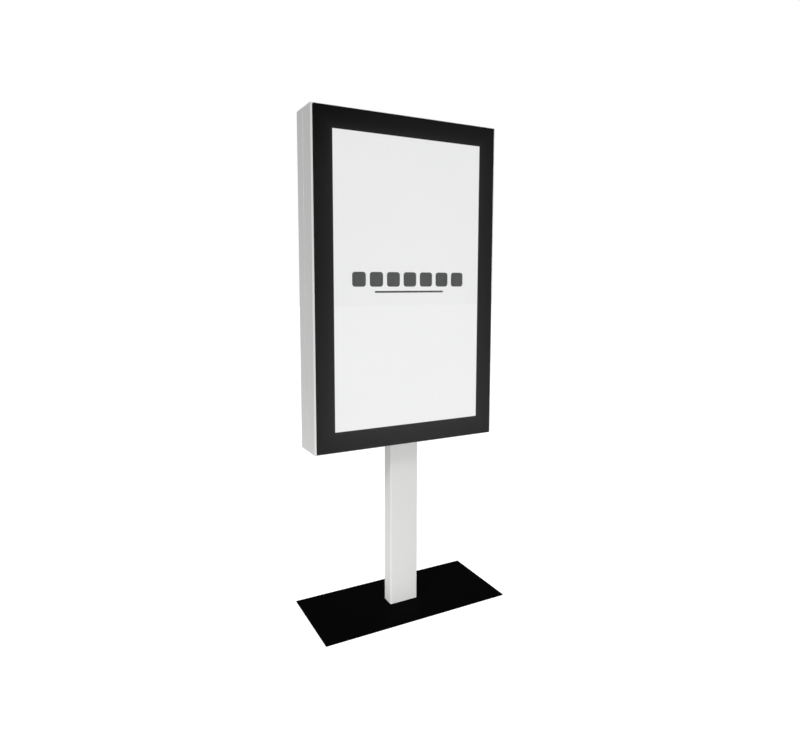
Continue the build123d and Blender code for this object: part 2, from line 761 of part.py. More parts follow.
def make_locks():
    """Two quarter-turn cam locks, shown unlocked with their cams hanging down."""
    flange_radius = lock_radius + lock_flange
    flange_y = rear_back_y + lock_flange
    body_front_y = cam_back_y + 3.0
    bodies = []
    for level in lock_centres:
        body = rod_y(lock_x, rear_back_y, flange_y, level, flange_radius)
        body = fillet(body.edges().group_by(Axis.Y)[-1], 1.2)
        body += rod_y(lock_x, body_front_y, rear_back_y + 0.1, level, lock_radius)
        body -= rod_y(lock_x, body_front_y - 1, flange_y + 1, level,
                      lock_core_radius + running_clearance)
        bodies.append(body)
        nut_back = rear_back_y - sheet
        nut = Plane(origin=(lock_x, nut_back, level), z_dir=(0, -1, 0)) * extrude(
            RegularPolygon(lock_radius + lock_nut_wall, 6), amount=lock_nut_depth)
        bodies.append(nut - rod_y(lock_x, nut_back - lock_nut_depth - 1, nut_back + 1, level,
                                  lock_radius + 0.1))
    save("lock_bodies", bodies)
    for name, level in zip(("lower", "upper"), lock_centres):
        core = rod_y(lock_x, cam_back_y, flange_y - 0.3, level, lock_core_radius)
        core += block(lock_x - 3.5, lock_x + 3.5, cam_front_y - 0.2, cam_back_y + 1,
                      level - 3.5, level + 3.5)
        core += rod_y(lock_x, cam_front_y - 1.2, cam_front_y - 0.2, level, 5.5)
        core -= block(lock_x - 0.9, lock_x + 0.9, flange_y - 6, flange_y + 1,
                      level - 4.2, level + 4.2)
        save(f"lock_{name}_core", core)
        tip = level - cam_length + cam_width / 2
        cam = block(lock_x - cam_width / 2, lock_x + cam_width / 2, cam_front_y, cam_back_y,
                    tip, level)
        cam += rod_y(lock_x, cam_front_y, cam_back_y, tip, cam_width / 2)
        cam += rod_y(lock_x, cam_front_y, cam_back_y, level, cam_width / 2)
        cam -= block(lock_x - 3.6, lock_x + 3.6, cam_front_y - 1, cam_back_y + 1,
                     level - 3.6, level + 3.6)
        save(f"lock_{name}_cam", cam)


# ---------------------------------------------------------------- cooling fans
fan_screw_radius = 1.8
fan_hub_radius = 15.0
fan_base_thickness = 4.0
fan_shaft_radius = 1.5
fan_guard_sheet = 1.5


def fan_screw_points(x):
    """Corner screw places of one fan."""
    half = fan_screw_pitch / 2
    return [(x + dx * half, fan_z + dz * half) for dx in (-1, 1) for dz in (-1, 1)]


def fan_housing(x):
    """Square fan frame with its motor base on four struts at the outlet side."""
    body = panel(fan_size, fan_size, fan_front_y, fan_back_y, fan_z, 4.0, x)
    body -= rod_y(x, fan_front_y - 1, fan_back_y + 1, fan_z, fan_bore)
    base_y = fan_back_y - fan_base_thickness
    body += rod_y(x, base_y, fan_back_y, fan_z, fan_hub_radius)
    for turn in (45, 135):
        strut = Pos(x, (base_y + fan_back_y) / 2, fan_z) * Rot(0, turn, 0) * Box(
            2 * fan_bore + 2, fan_base_thickness, 4.0)
        body += strut
    body += rod_y(x, base_y - 8, base_y + 1, fan_z, 4.0)
    body -= rod_y(x, base_y - 9, base_y + 1, fan_z, fan_shaft_radius + running_clearance)
    for point_x, point_z in fan_screw_points(x):
        body -= rod_y(point_x, fan_front_y - 1, fan_back_y + 1, point_z,
                      fan_screw_radius + 0.1)
    return body


def fan_rotor(x):
    """Hub cup with its blades and the shaft that runs in the motor base."""
    base_y = fan_back_y - fan_base_thickness
    cup_front = fan_front_y + 2.0
    cup_back = base_y - 1.0
    rotor = rod_y(x, cup_front, cup_back, fan_z, fan_hub_radius + 1)
    rotor -= rod_y(x, cup_front + 2, cup_back + 1, fan_z, fan_hub_radius - 1)
    rotor += rod_y(x, cup_front + 1, base_y, fan_z, fan_shaft_radius)
    blade_start = fan_hub_radius
    blade_end = fan_bore - fan_tip_gap
    for index in range(fan_blades):
        blade = Pos((blade_start + blade_end) / 2, 0, 0) * Rot(35, 0, 0) * Box(
            blade_end - blade_start, 1.4, 20.0)
        turned = Rot(0, index * 360 / fan_blades, 0) * blade
        rotor += Pos(x, (cup_front + cup_back) / 2, fan_z) * turned
    return rotor


def fan_guard(x):
    """Punched finger guard over one outlet."""
    thickness = fan_guard_sheet
    outer = rod_y(x, rear_back_y, rear_back_y + thickness, fan_z, fan_bore + 3)
    outer -= rod_y(x, rear_back_y - 1, rear_back_y + thickness + 1, fan_z, fan_bore - 1)
    for radius in (12.0, 20.5, 29.0):
        hoop = rod_y(x, rear_back_y, rear_back_y + thickness, fan_z, radius + 1.2)
        hoop -= rod_y(x, rear_back_y - 1, rear_back_y + thickness + 1, fan_z, radius - 1.2)
        outer += hoop
    for turn in (0, 90):
        outer += Pos(x, rear_back_y + thickness / 2, fan_z) * Rot(0, turn, 0) * Box(
            2 * fan_bore, thickness, 3.0)
    ear = 5.0
    arm = fan_screw_pitch * 2 ** 0.5 / 2
    for point_x, point_z in fan_screw_points(x):
        outer += rod_y(point_x, rear_back_y, rear_back_y + thickness, point_z, ear)
    for turn in (45, 135):
        arms = Pos(x, rear_back_y + thickness / 2, fan_z) * Rot(0, turn, 0) * Box(
            2 * arm, thickness, 5.0)
        outer += arms - rod_y(x, rear_back_y - 1, rear_back_y + thickness + 1, fan_z, fan_bore)
    for point_x, point_z in fan_screw_points(x):
        outer -= rod_y(point_x, rear_back_y - 1, rear_back_y + thickness + 1, point_z,
                       fan_screw_radius + screw_clearance)
    return outer


def make_fans():
    """Two outlet fans over the service door; returns their screws."""
    sides = (-fan_x, fan_x)
    save("fan_housings", [fan_housing(x) for x in sides])
    save("fan_left_rotor", fan_rotor(-fan_x))
    save("fan_right_rotor", fan_rotor(fan_x))
    save("fan_guards", [fan_guard(x) for x in sides])
    return [pan_screw((point_x, rear_back_y + fan_guard_sheet, point_z), (0, -1, 0),
                      fan_screw_radius, 14.0)
            for x in sides for point_x, point_z in fan_screw_points(x)]


# ---------------------------------------------------------------- electrics
inlet_face_y = 22.0
inlet_bracket_width = 120.0
inlet_bracket_height = 60.0
inlet_z = head_bottom + inlet_level
socket_x = inlet_x - 28.0
switch_x = inlet_x + 15.0
coupler_x = inlet_x + 42.0
switch_pivot_y = inlet_face_y - 1.0
switch_back_y = inlet_face_y - 18.0
switch_tilt = 8.0
supply_z = head_bottom + power_supply_level
supply_x = -(equipment_x[0] + equipment_x[1]) / 2
supply_back_y = equipment_back_y + power_supply_size[1]
supply_top_z = supply_z + power_supply_size[2] / 2
supply_bottom_z = supply_z - power_supply_size[2] / 2
player_x = (equipment_x[0] + equipment_x[1]) / 2
player_z = head_bottom + player_level
player_back_y = equipment_back_y + player_size[1]
player_top_z = player_z + player_size[2] / 2
player_button_x = player_x - 72.0
player_button_y = equipment_back_y + 16.0
display_board_x = player_x
display_board_z = head_bottom + display_board_level
touch_board_x = -player_x
touch_board_z = head_bottom + touch_board_level
board_lift = 6.0


def hollow_case(size, x, z, wall):
    """Thin closed box on an equipment plate, open at its back (+Y) for a lid."""
    width, depth, height = size
    y0 = equipment_back_y
    case = block(x - width / 2, x + width / 2, y0, y0 + depth - wall, z - height / 2,
                 z + height / 2)
    case -= block(x - width / 2 + wall, x + width / 2 - wall, y0 + wall, y0 + depth,
                  z - height / 2 + wall, z + height / 2 - wall)
    return case


def make_power_supply():
    """Power supply: case, vented lid and the board with its parts."""
    width, depth, height = power_supply_size
    case = hollow_case(power_supply_size, supply_x, supply_z, case_sheet)
    for x in supply_ports:
        case -= rod_z(x, lead_y, supply_bottom_z - 1, supply_top_z + 1, lead_radius + 0.4)
    save("power_supply_case", case)
    lid = block(supply_x - width / 2, supply_x + width / 2, supply_back_y - case_sheet,
                supply_back_y, supply_bottom_z, supply_top_z)
    cutters = []
    for column in range(16):
        x = supply_x + (column - 7.5) * 11.0
        outline = Rot(0, 0, 90) * SlotOverall(height * 0.6, 5.0)
        cutters.append(Pos(x, supply_back_y + 1, supply_z) * Rot(90, 0, 0) * extrude(
            outline, amount=case_sheet + 2))
    save("power_supply_lid", lid - cutters)
    floor_y = equipment_back_y + case_sheet
    board = block(supply_x - width / 2 + 6, supply_x + width / 2 - 6, floor_y + 4, floor_y + 5.6,
                  supply_bottom_z + 6, supply_top_z - 6)
    for part in (-0.35, 0.0, 0.35):
        board += block(supply_x + part * width - 16, supply_x + part * width + 16, floor_y + 5,
                       floor_y + 30, supply_z - 18, supply_z + 18)
    for part in (-0.42, -0.18, 0.18):
        board += rod_y(supply_x + part * width, floor_y + 5, floor_y + 34,
                       supply_z + 32, 9.0)
    for dx in (-1, 1):
        for dz in (-1, 1):
            board += rod_y(supply_x + dx * (width / 2 - 12), floor_y, floor_y + 5,
                           supply_z + dz * (height / 2 - 12), 3.0)
    save("power_supply_board", board)


def make_player():
    """Media player: case, finned lid and its power button."""
    width, depth, height = player_size
    case = hollow_case(player_size, player_x, player_z, case_sheet)
    case -= rod_z(player_button_x, player_button_y, player_top_z - 5, player_top_z + 1,
                  player_button_radius + 0.3)
    for x in player_ports:
        case -= rod_z(x, lead_y, player_top_z - 5, player_top_z + 1, lead_radius + 0.4)
    save("player_case", case)
    lid_y = player_back_y - case_sheet
    lid = block(player_x - width / 2, player_x + width / 2, lid_y, lid_y + 3.0,
                player_z - height / 2, player_z + height / 2)
    fin_pitch = 9.0
    fins = int(width / fin_pitch)
    for index in range(fins):
        x = player_x + (index - (fins - 1) / 2) * fin_pitch
        lid += block(x - 1.0, x + 1.0, lid_y + 2, lid_y + 14.0, player_z - height / 2 + 4,
                     player_z + height / 2 - 4)
    save("player_lid", lid)
    under_wall = player_top_z - case_sheet - 0.1
    button = rod_z(player_button_x, player_button_y, under_wall - 2.0, player_top_z + 2.0,
                   player_button_radius)
    button = fillet(button.edges().group_by(Axis.Z)[-1], 0.6)
    stem = rod_z(player_button_x, player_button_y, under_wall - 2.0, under_wall,
                 player_button_radius + 1.5)
    save("player_button", button + stem)


def circuit_board(size, x, z, chips):
    """Printed board on its spacers' level with raised chips and one plug socket below."""
    width, thickness, height = size
    y0 = equipment_back_y + board_lift
    board = block(x - width / 2, x + width / 2, y0, y0 + thickness, z - height / 2,
                  z + height / 2)
    for dx, dz, chip in chips:
        centre_x = x + dx * width
        centre_z = z + dz * height
        board += block(centre_x - chip / 2, centre_x + chip / 2, y0 + thickness - 0.2,
                       y0 + thickness + 2.0, centre_z - chip / 2, centre_z + chip / 2)
    return board


def board_spacers(size, x, z):
    """Four round spacers between a board and its equipment plate."""
    width, thickness, height = size
    return [rod_y(x + dx * (width / 2 - 5), equipment_back_y, equipment_back_y + board_lift,
                  z + dz * (height / 2 - 5), 3.0) for dx in (-1, 1) for dz in (-1, 1)]


def make_boards():
    """Display driver board and touch controller; returns their spacers."""
    chips = ((-0.2, 0.15, 26.0), (0.2, 0.2, 18.0), (0.32, -0.15, 12.0), (-0.36, -0.1, 9.0))
    display = circuit_board(display_board_size, display_board_x, display_board_z, chips)
    touch = circuit_board(touch_board_size, touch_board_x, touch_board_z, chips[1:])
    face_y = equipment_back_y + board_lift + display_board_size[1]
    display_low = display_board_z - display_board_size[2] / 2
    touch_low = touch_board_z - touch_board_size[2] / 2
    display += block(display_board_x - 14, display_board_x + 14, face_y - 0.2, face_y + 10.0,
                     display_low, display_low + 12)
    touch += block(touch_board_x - 10, touch_board_x + 10, face_y - 0.2, face_y + 10.0,
                   touch_low, touch_low + 12)
    save("display_board", display)
    save("touch_controller", touch)
    spacers = board_spacers(display_board_size, display_board_x, display_board_z)
    return spacers + board_spacers(touch_board_size, touch_board_x, touch_board_z)


def make_inlet():
    """Bracket inside the door with the mains inlet, power switch and network coupler."""
    low = inlet_z - inlet_bracket_height / 2
    high = inlet_z + inlet_bracket_height / 2
    left = inlet_x - inlet_bracket_width / 2
    right = inlet_x + inlet_bracket_width / 2
    bracket = block(left, right, inlet_face_y - sheet, inlet_face_y, low, high)
    for x in (left, right - sheet):
        bracket += block(x, x + sheet, equipment_back_y, inlet_face_y, low, high)
    body_sizes = ((socket_x, 27.0, 20.0), (switch_x, 15.0, 27.0), (coupler_x, 15.0, 16.0))
    for x, width, height in body_sizes:
        bracket -= block(x - width / 2 - 0.3, x + width / 2 + 0.3, inlet_face_y - sheet - 1,
                         inlet_face_y + 1, inlet_z - height / 2 - 0.3, inlet_z + height / 2 + 0.3)
    save("inlet_bracket", bracket)

    socket = block(socket_x - 13.5, socket_x + 13.5, inlet_face_y - 24, inlet_face_y + 1,
                   inlet_z - 10, inlet_z + 10)
    socket += panel(48.0, 28.0, inlet_face_y, inlet_face_y + 2, inlet_z, 3.0, socket_x)
    socket -= panel(24.0, 16.5, inlet_face_y - 15, inlet_face_y + 3, inlet_z, 2.0, socket_x)
    for dx, dz in ((-7.0, -1.5), (7.0, -1.5), (0.0, 2.5)):
        x = socket_x + dx
        z = inlet_z + dz
        socket += block(x - 1, x + 1, inlet_face_y - 16, inlet_face_y - 2, z - 2, z + 2)
    save("mains_inlet", socket)

    body = block(switch_x - 7.5, switch_x + 7.5, switch_back_y, inlet_face_y + 0.5,
                 inlet_z - 13.5, inlet_z + 13.5)
    body += panel(18.0, 30.0, inlet_face_y, inlet_face_y + 1.5, inlet_z, 1.5, switch_x)
    body -= block(switch_x - 6.3, switch_x + 6.3, inlet_face_y - 9, inlet_face_y + 3,
                  inlet_z - 12.3, inlet_z + 12.3)
    body -= rod_x(switch_x - 7.0, switch_x + 7.0, switch_pivot_y, inlet_z, 1.25)
    save("switch_body", body)
    rocker = Box(11.6, 7.0, 22.6)
    rocker = fillet(rocker.edges().filter_by(Axis.X), 1.0)
    dip = Pos(0, 24.5, 0) * Rot(0, 90, 0) * Cylinder(22.0, 20.0)
    rocker = rocker - dip
    rocker = Pos(switch_x, switch_pivot_y, inlet_z) * Rot(switch_tilt, 0, 0) * rocker
    rocker += rod_x(switch_x - 6.9, switch_x + 6.9, switch_pivot_y, inlet_z, 1.2)
    save("switch_rocker", rocker)

    coupler = block(coupler_x - 7.5, coupler_x + 7.5, inlet_face_y - 24, inlet_face_y + 1,
                    inlet_z - 8, inlet_z + 8)
    coupler += panel(19.0, 22.0, inlet_face_y, inlet_face_y + 1.5, inlet_z, 1.0, coupler_x)
    coupler -= block(coupler_x - 6, coupler_x + 6, inlet_face_y - 12, inlet_face_y + 2,
                     inlet_z - 4, inlet_z + 4)
    save("network_coupler", coupler)


# ---------------------------------------------------------------- internal leads
lead_radius = 2.5
lead_y = equipment_back_y + 14.0
lead_bend = 12.0
switch_lead_bend = 7.0
behind_column_y = column_back_y + 12.0
supply_ports = (switch_x, supply_x + 60.0)
player_ports = (player_x - 30.0, player_x, player_x + 30.0)


def lead(points, bend=lead_bend):
    """Round lead along straight runs joined by arcs."""
    path = FilletPolyline(*points, radius=bend)
    start = Plane(origin=path @ 0, z_dir=path % 0)
    return sweep(start * Circle(lead_radius), path=path)


def crossing(start_x, start_z, end_x, end_z, level):
    """Route over the top of one case, behind the column, and down to the next."""
    side = 1 if end_x > start_x else -1
    turn = column_width / 2 + 24.0
    return [(start_x, lead_y, start_z), (start_x, lead_y, level),
            (-side * turn, behind_column_y, level), (side * turn, behind_column_y, level),
            (end_x, lead_y, level), (end_x, lead_y, end_z)]


def make_leads():
    """Leads inside the head, each from one unit to the next."""
    mains = [(switch_x, switch_back_y, inlet_z), (switch_x, lead_y, inlet_z),
             (switch_x, lead_y, supply_bottom_z)]
    save("mains_lead", lead(mains, switch_lead_bend))
    over = supply_top_z + 30.0
    save("supply_lead", lead(crossing(supply_ports[1], supply_top_z, player_ports[0],
                                      player_top_z, over)))
    board_face = display_board_z - display_board_size[2] / 2
    display = [(player_ports[2], lead_y, player_top_z), (player_ports[2], lead_y, over + 34.0),
               (display_board_x, lead_y, over + 62.0), (display_board_x, lead_y, board_face)]
    save("display_lead", lead(display))
    touch_low = touch_board_z - touch_board_size[2] / 2
    save("touch_lead", lead(crossing(player_ports[1], player_top_z, touch_board_x, touch_low,
                                     over + 20.0)))


make_base()
make_column()
make_front_frame()
make_rear_housing()
housing_screws = make_seam() + make_front() + make_hinges() + make_fans()
save("housing_screws", housing_screws)
display_spacers, display_screws = make_display()
save("frame_screws", make_mounting_frame() + display_screws)
make_door()
make_locks()
make_power_supply()
make_player()
save("spacers", display_spacers + make_boards())
make_inlet()
make_leads()
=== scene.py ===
"""Looks of a free-standing touchscreen kiosk: finishes on the fixed frame, small added pieces, studio."""
import logging
import math
from dataclasses import dataclass, field
from enum import Enum
from typing import Iterable, Sequence, Union

import bmesh
import bpy
from mathutils import Matrix, Vector


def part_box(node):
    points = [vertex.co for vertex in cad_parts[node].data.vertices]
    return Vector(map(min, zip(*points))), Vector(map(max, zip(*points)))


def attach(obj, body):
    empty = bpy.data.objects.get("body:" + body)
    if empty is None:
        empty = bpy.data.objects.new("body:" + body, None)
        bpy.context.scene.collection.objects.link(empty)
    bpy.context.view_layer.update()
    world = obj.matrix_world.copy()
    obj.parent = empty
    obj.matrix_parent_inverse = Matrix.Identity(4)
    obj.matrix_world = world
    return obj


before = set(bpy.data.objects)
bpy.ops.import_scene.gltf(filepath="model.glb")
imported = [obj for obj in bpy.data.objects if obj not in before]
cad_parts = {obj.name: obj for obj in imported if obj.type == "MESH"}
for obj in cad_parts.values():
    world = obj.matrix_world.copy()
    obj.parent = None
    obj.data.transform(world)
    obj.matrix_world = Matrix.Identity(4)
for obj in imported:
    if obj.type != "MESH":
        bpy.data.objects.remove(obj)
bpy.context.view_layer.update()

LOG = logging.getLogger("kiosk")
MM = 0.001
EULER = 2.718
EDGE_CONTRAST = 12.0  # how fast a rounded edge counts as worn
Triple = tuple[float, float, float]
Colour = Triple


class Body(Enum):
    """Rigid bodies that pieces ride on."""

    KIOSK = "kiosk"


# ------------------------------------------------------------------ shader language
class Value:
    """One output socket of a shader graph that can be used in Python expressions."""

    def __init__(self, graph: "Graph", socket: bpy.types.NodeSocket) -> None:
        """Keep the graph and the socket."""
        self.graph = graph
        self.socket = socket

    def _maths(self, operation: str, first: "Input", second: "Input" = 0.0) -> "Value":
        """Add one Math node.

        Args:
            operation: the Math node's operation.
            first: left operand.
            second: right operand.

        Returns:
            The node's result.
        """
        return self.graph.node("ShaderNodeMath", {"operation": operation}, {0: first, 1: second})

    def __add__(self, other: "Input") -> "Value":
        """Sum."""
        return self._maths("ADD", self, other)

    def __radd__(self, other: "Input") -> "Value":
        """Sum with a number on the left."""
        return self._maths("ADD", other, self)

    def __sub__(self, other: "Input") -> "Value":
        """Difference."""
        return self._maths("SUBTRACT", self, other)

    def __rsub__(self, other: "Input") -> "Value":
        """Difference from a number on the left."""
        return self._maths("SUBTRACT", other, self)

    def __mul__(self, other: "Input") -> "Value":
        """Product."""
        return self._maths("MULTIPLY", self, other)

    def __rmul__(self, other: "Input") -> "Value":
        """Product with a number on the left."""
        return self._maths("MULTIPLY", other, self)

    def __truediv__(self, other: "Input") -> "Value":
        """Quotient."""
        return self._maths("DIVIDE", self, other)

    def __rtruediv__(self, other: "Input") -> "Value":
        """Quotient with a number on the left."""
        return self._maths("DIVIDE", other, self)

    def __pow__(self, other: "Input") -> "Value":
        """Power."""
        return self._maths("POWER", self, other)

    def __rpow__(self, other: "Input") -> "Value":
        """A number to this power."""
        return self._maths("POWER", other, self)

    def greater(self, other: "Input") -> "Value":
        """The greater of two."""
        return self._maths("MAXIMUM", self, other)

    def __gt__(self, other: "Input") -> "Value":
        """One where this is greater, else zero."""
        return self._maths("GREATER_THAN", self, other)

    def __lt__(self, other: "Input") -> "Value":
        """One where this is less, else zero."""
        return self._maths("LESS_THAN", self, other)

    def fraction(self) -> "Value":
        """Part after the decimal point."""
        return self._maths("FRACT", self)

    def absolute(self) -> "Value":
        """Size without sign."""
        return self._maths("ABSOLUTE", self)

    def clamped(self) -> "Value":
        """Kept between zero and one."""
        return self.graph.node("ShaderNodeClamp", {}, {0: self})


Input = Union[Value, float, Sequence[float]]


class Graph:
    """Shader graph of one material or world."""

    def __init__(self, owner: Union[bpy.types.Material, bpy.types.World]) -> None:
        """Empty the owner's tree but for its output node.

        Args:
            owner: the material or world.
        """
        self.owner = owner
        owner.use_nodes = True
        self.tree = owner.node_tree
        self.tree.nodes.clear()
        kind = "World" if isinstance(owner, bpy.types.World) else "Material"
        self.out = self.tree.nodes.new(f"ShaderNodeOutput{kind}")

    def node(self, kind: str, settings: dict, inputs: dict, output: Union[int, str] = 0) -> Value:
        """Add a node of any type.

        Args:
            kind: the node's type name.
            settings: its properties, set first; "stops" holds a ramp's positions and greys.
            inputs: values or links by socket index or name.
            output: which output to return.

        Returns:
            The chosen output.
        """
        made = self.tree.nodes.new(kind)
        for key, setting in settings.items():
            if key == "stops":
                self._stops(made.color_ramp, setting)
            else:
                setattr(made, key, setting)
        for key, value in inputs.items():
            if isinstance(value, Value):
                self.tree.links.new(value.socket, made.inputs[key])
            else:
                made.inputs[key].default_value = value
        return Value(self, made.outputs[output])

    @staticmethod
    def _stops(ramp: bpy.types.ColorRamp, stops: Sequence[tuple[float, float]]) -> None:
        """Set a ramp's stops to greys.

        Args:
            ramp: the ramp to change.
            stops: positions and grey levels.
        """
        while len(ramp.elements) < len(stops):
            ramp.elements.new(0.5)
        for element, (position, grey) in zip(ramp.elements, stops):
            element.position = position
            element.color = (grey, grey, grey, 1.0)

    def place(self) -> Value:
        """Position on the object, in metres."""
        return self.node("ShaderNodeTexCoord", {}, {}, "Object")

    def stretched(self, scale: Sequence[float]) -> Value:
        """Position multiplied by a factor on each axis."""
        return self.node("ShaderNodeVectorMath", {"operation": "MULTIPLY"},
                         {0: self.place(), 1: tuple(scale)})

    def axis(self, letter: str) -> Value:
        """One coordinate of the position, in metres."""
        return self.node("ShaderNodeSeparateXYZ", {}, {0: self.place()}, letter)

    def noise(self, scale: float, detail: float = 2.0, roughness: float = 0.5,
              vector: Union[Value, None] = None) -> Value:
        """Fractal noise between zero and one.

        Args:
            scale: features per metre.
            detail: octaves.
            roughness: weight of the finer octaves.
            vector: where to read it; the position if not given.

        Returns:
            The noise value.
        """
        return self.node("ShaderNodeTexNoise", {}, {
            "Vector": vector or self.place(), "Scale": scale, "Detail": detail,
            "Roughness": roughness})

    def cells(self, scale: float, feature: str = "F1", vector: Union[Value, None] = None,
              output: str = "Distance") -> Value:
        """Voronoi cells.

        Args:
            scale: cells per metre.
            feature: what the texture measures.
            vector: where to read it; the position if not given.
            output: which output to use.

        Returns:
            The chosen output.
        """
        return self.node("ShaderNodeTexVoronoi", {"feature": feature},
                         {"Vector": vector or self.place(), "Scale": scale}, output)

    def ramp(self, factor: Value, stops: Sequence[tuple[float, float]],
             smooth: bool = False) -> Value:
        """Grey ramp of a value.

        Args:
            factor: where to read the ramp.
            stops: positions and grey levels.
            smooth: whether the stops are rounded over.

        Returns:
            The grey.
        """
        ramp = self.node("ShaderNodeValToRGB", {"stops": stops}, {0: factor})
        if smooth:
            ramp.socket.node.color_ramp.interpolation = "B_SPLINE"
        return ramp

    def blend(self, factor: Input, first: Input, second: Input) -> Value:
        """Mix two colours.

        Args:
            factor: zero gives the first colour, one the second.
            first: a colour or link.
            second: a colour or link.

        Returns:
            The mixed colour.
        """
        return self.node("ShaderNodeMix", {"data_type": "RGBA"}, {
            "Factor": factor, 6: self._rgba(first), 7: self._rgba(second)}, 2)

    @staticmethod
    def _rgba(colour: Input) -> Input:
        """Colour with an alpha of one, or the link itself."""
        return colour if isinstance(colour, Value) else (*colour, 1.0)

    def bump(self, height: Value, strength: float, distance: float,
             normal: Union[Value, None] = None) -> Value:
        """Normal bent by a height.

        Args:
            height: the height value.
            strength: how much of it is used.
            distance: real height of one unit, in metres.
            normal: normal to start from.

        Returns:
            The new normal.
        """
        inputs: dict = {"Strength": strength, "Distance": distance, "Height": height}
        if normal is not None:
            inputs["Normal"] = normal
        return self.node("ShaderNodeBump", {}, inputs)

    def soft_edges(self, radius: float) -> Value:
        """Normal rounded over the edges, as folded sheet or a moulding is."""
        return self.node("ShaderNodeBevel", {"samples": 4}, {"Radius": radius})

    def edge_mask(self, radius: float) -> Value:
        """One along sharp edges and zero on flat faces.

        Args:
            radius: width of the worn band, in metres.

        Returns:
            The mask.
        """
        flat = self.node("ShaderNodeNewGeometry", {}, {}, "Normal")
        agreement = self.node("ShaderNodeVectorMath", {"operation": "DOT_PRODUCT"},
                              {0: self.soft_edges(radius), 1: flat}, "Value")
        return ((1.0 - agreement) * EDGE_CONTRAST).clamped()

    def surface(self, inputs: dict) -> bpy.types.Material:
        """Close the graph with a Principled shader.

        Args:
            inputs: the shader's values or links by socket name.

        Returns:
            The finished material.
        """
        self.close(self.principled(inputs))
        return self.owner

    def principled(self, inputs: dict) -> Value:
        """Principled shader with values or links by socket name."""
        return self.node("ShaderNodeBsdfPrincipled", {}, inputs)

    def close(self, shader: Value) -> None:
        """Link a shader to the output."""
        self.tree.links.new(shader.socket, self.out.inputs["Surface"])

    def background(self, colour: Input, strength: Input = 1.0) -> Value:
        """Light from all round."""
        return self.node("ShaderNodeBackground", {}, {"Color": colour, "Strength": strength})

    def mix_shader(self, factor: Value, first: Value, second: Value) -> Value:
        """Second shader where the factor is one, else the first."""
        return self.node("ShaderNodeMixShader", {}, {0: factor, 1: first, 2: second})


# ------------------------------------------------------------------ finishes
@dataclass(frozen=True)
class PowderCoat:
    """Baked powder coat on sheet steel: faint orange peel, soft edges, light handling marks."""

    name: str
    colour: Colour
    worn: Colour
    roughness: float = 0.42
    specular: float = 0.4
    peel: float = 0.10
    grain: float = 700.0
    edge: float = 0.0008
    wear: float = 0.25

    def build(self) -> bpy.types.Material:
        """Make the material.

        Returns:
            The material.
        """
        g = Graph(bpy.data.materials.new(self.name))
        clouds = g.noise(2.2, 3.0)
        scuffs = g.ramp(g.noise(38.0, 6.0, 0.65), ((0.60, 0.0), (0.78, 1.0)))
        edge = g.edge_mask(self.edge) * g.noise(160.0, 3.0)
        tint = g.blend(clouds * 0.5, self.colour, tuple(0.94 * c for c in self.colour))
        tint = g.blend((edge * self.wear).clamped(), tint, self.worn)
        rough = self.roughness + (clouds - 0.5) * 0.06 + scuffs * 0.05
        peel = g.noise(self.grain, 1.5, 0.4) * 0.7 + g.noise(self.grain * 4.0, 1.0) * 0.3
        return g.surface({
            "Base Color": tint, "Roughness": rough, "Specular IOR Level": self.specular,
            "Normal": g.bump(peel, self.peel, 0.0002, g.soft_edges(self.edge))})


@dataclass(frozen=True)
class CoverGlass:
    """Clear toughened glass with the faintest touch marks and a blackened ground edge."""

    name: str = "cover_glass"
    tint: Colour = (0.993, 0.997, 0.995)
    edge_ink: Colour = (0.0015, 0.0015, 0.0016)
    facing: float = 0.9  # a normal leaning further from Y than this is the edge

    def build(self) -> bpy.types.Material:
        """Make the material.

        Returns:
            The material.
        """
        g = Graph(bpy.data.materials.new(self.name))
        smears = g.ramp(g.noise(9.0, 4.0, 0.6, g.stretched((1.0, 1.0, 0.45))),
                        ((0.52, 0.0), (0.75, 1.0)))
        prints = g.ramp(g.noise(420.0, 2.0, 0.5), ((0.45, 0.0), (0.6, 1.0)))
        rough = 0.015 + smears * prints * 0.05
        clear = g.principled({
            "Base Color": (*self.tint, 1.0), "Roughness": rough, "IOR": 1.5,
            "Transmission Weight": 1.0})
        ground = g.noise(900.0, 2.0)
        sealed = g.principled({
            "Base Color": g.blend(ground, self.edge_ink, tuple(2.0 * c for c in self.edge_ink)),
            "Roughness": 0.5 + ground * 0.1, "Specular IOR Level": 0.1})
        normal = g.node("ShaderNodeNewGeometry", {}, {}, "Normal")
        square_on = g.node("ShaderNodeSeparateXYZ", {}, {0: normal}, "Y").absolute()
        g.close(g.mix_shader(square_on < self.facing, clear, sealed))
        return g.owner


@dataclass(frozen=True)
class BorderPrint:
    """Opaque black ceramic print on the back of the glass, with a faint painted glow beside the window."""

    name: str = "border_print"
    colour: Colour = (0.004, 0.004, 0.0045)
    # painted glow beside the window: its emission strength, then how far it reaches
    painted_glow_strength: float = 0.011
    painted_glow_reach: float = 0.016

    def build(self, low: Vector, high: Vector) -> bpy.types.Material:
        """Make the material.

        Args:
            low: lowest corner of the lit window.
            high: highest corner of the lit window.

        Returns:
            The material.
        """
        g = Graph(bpy.data.materials.new(self.name))
        screen = g.cells(900.0)
        middle = (low + high) / 2
        half = (high - low) / 2
        beside = (g.axis("X") - middle.x).absolute() - half.x
        above = (g.axis("Z") - middle.z).absolute() - half.z
        away = beside.greater(above).greater(0.0)
        # painted glow: the print emits a faint light that fades away from the window's edge
        glow = EULER ** (away * (-1.0 / self.painted_glow_reach))
        tint = g.blend(screen, self.colour, tuple(1.6 * c for c in self.colour))
        return g.surface({"Base Color": tint, "Roughness": 0.55 + screen * 0.1,
                          "Specular IOR Level": 0.2,
                          "Emission Color": g.blend(glow, (0.0, 0.0, 0.0), (1.0, 1.0, 1.0)),
                          "Emission Strength": self.painted_glow_strength,
                          "Normal": g.bump(screen, 0.05, 0.0001)})


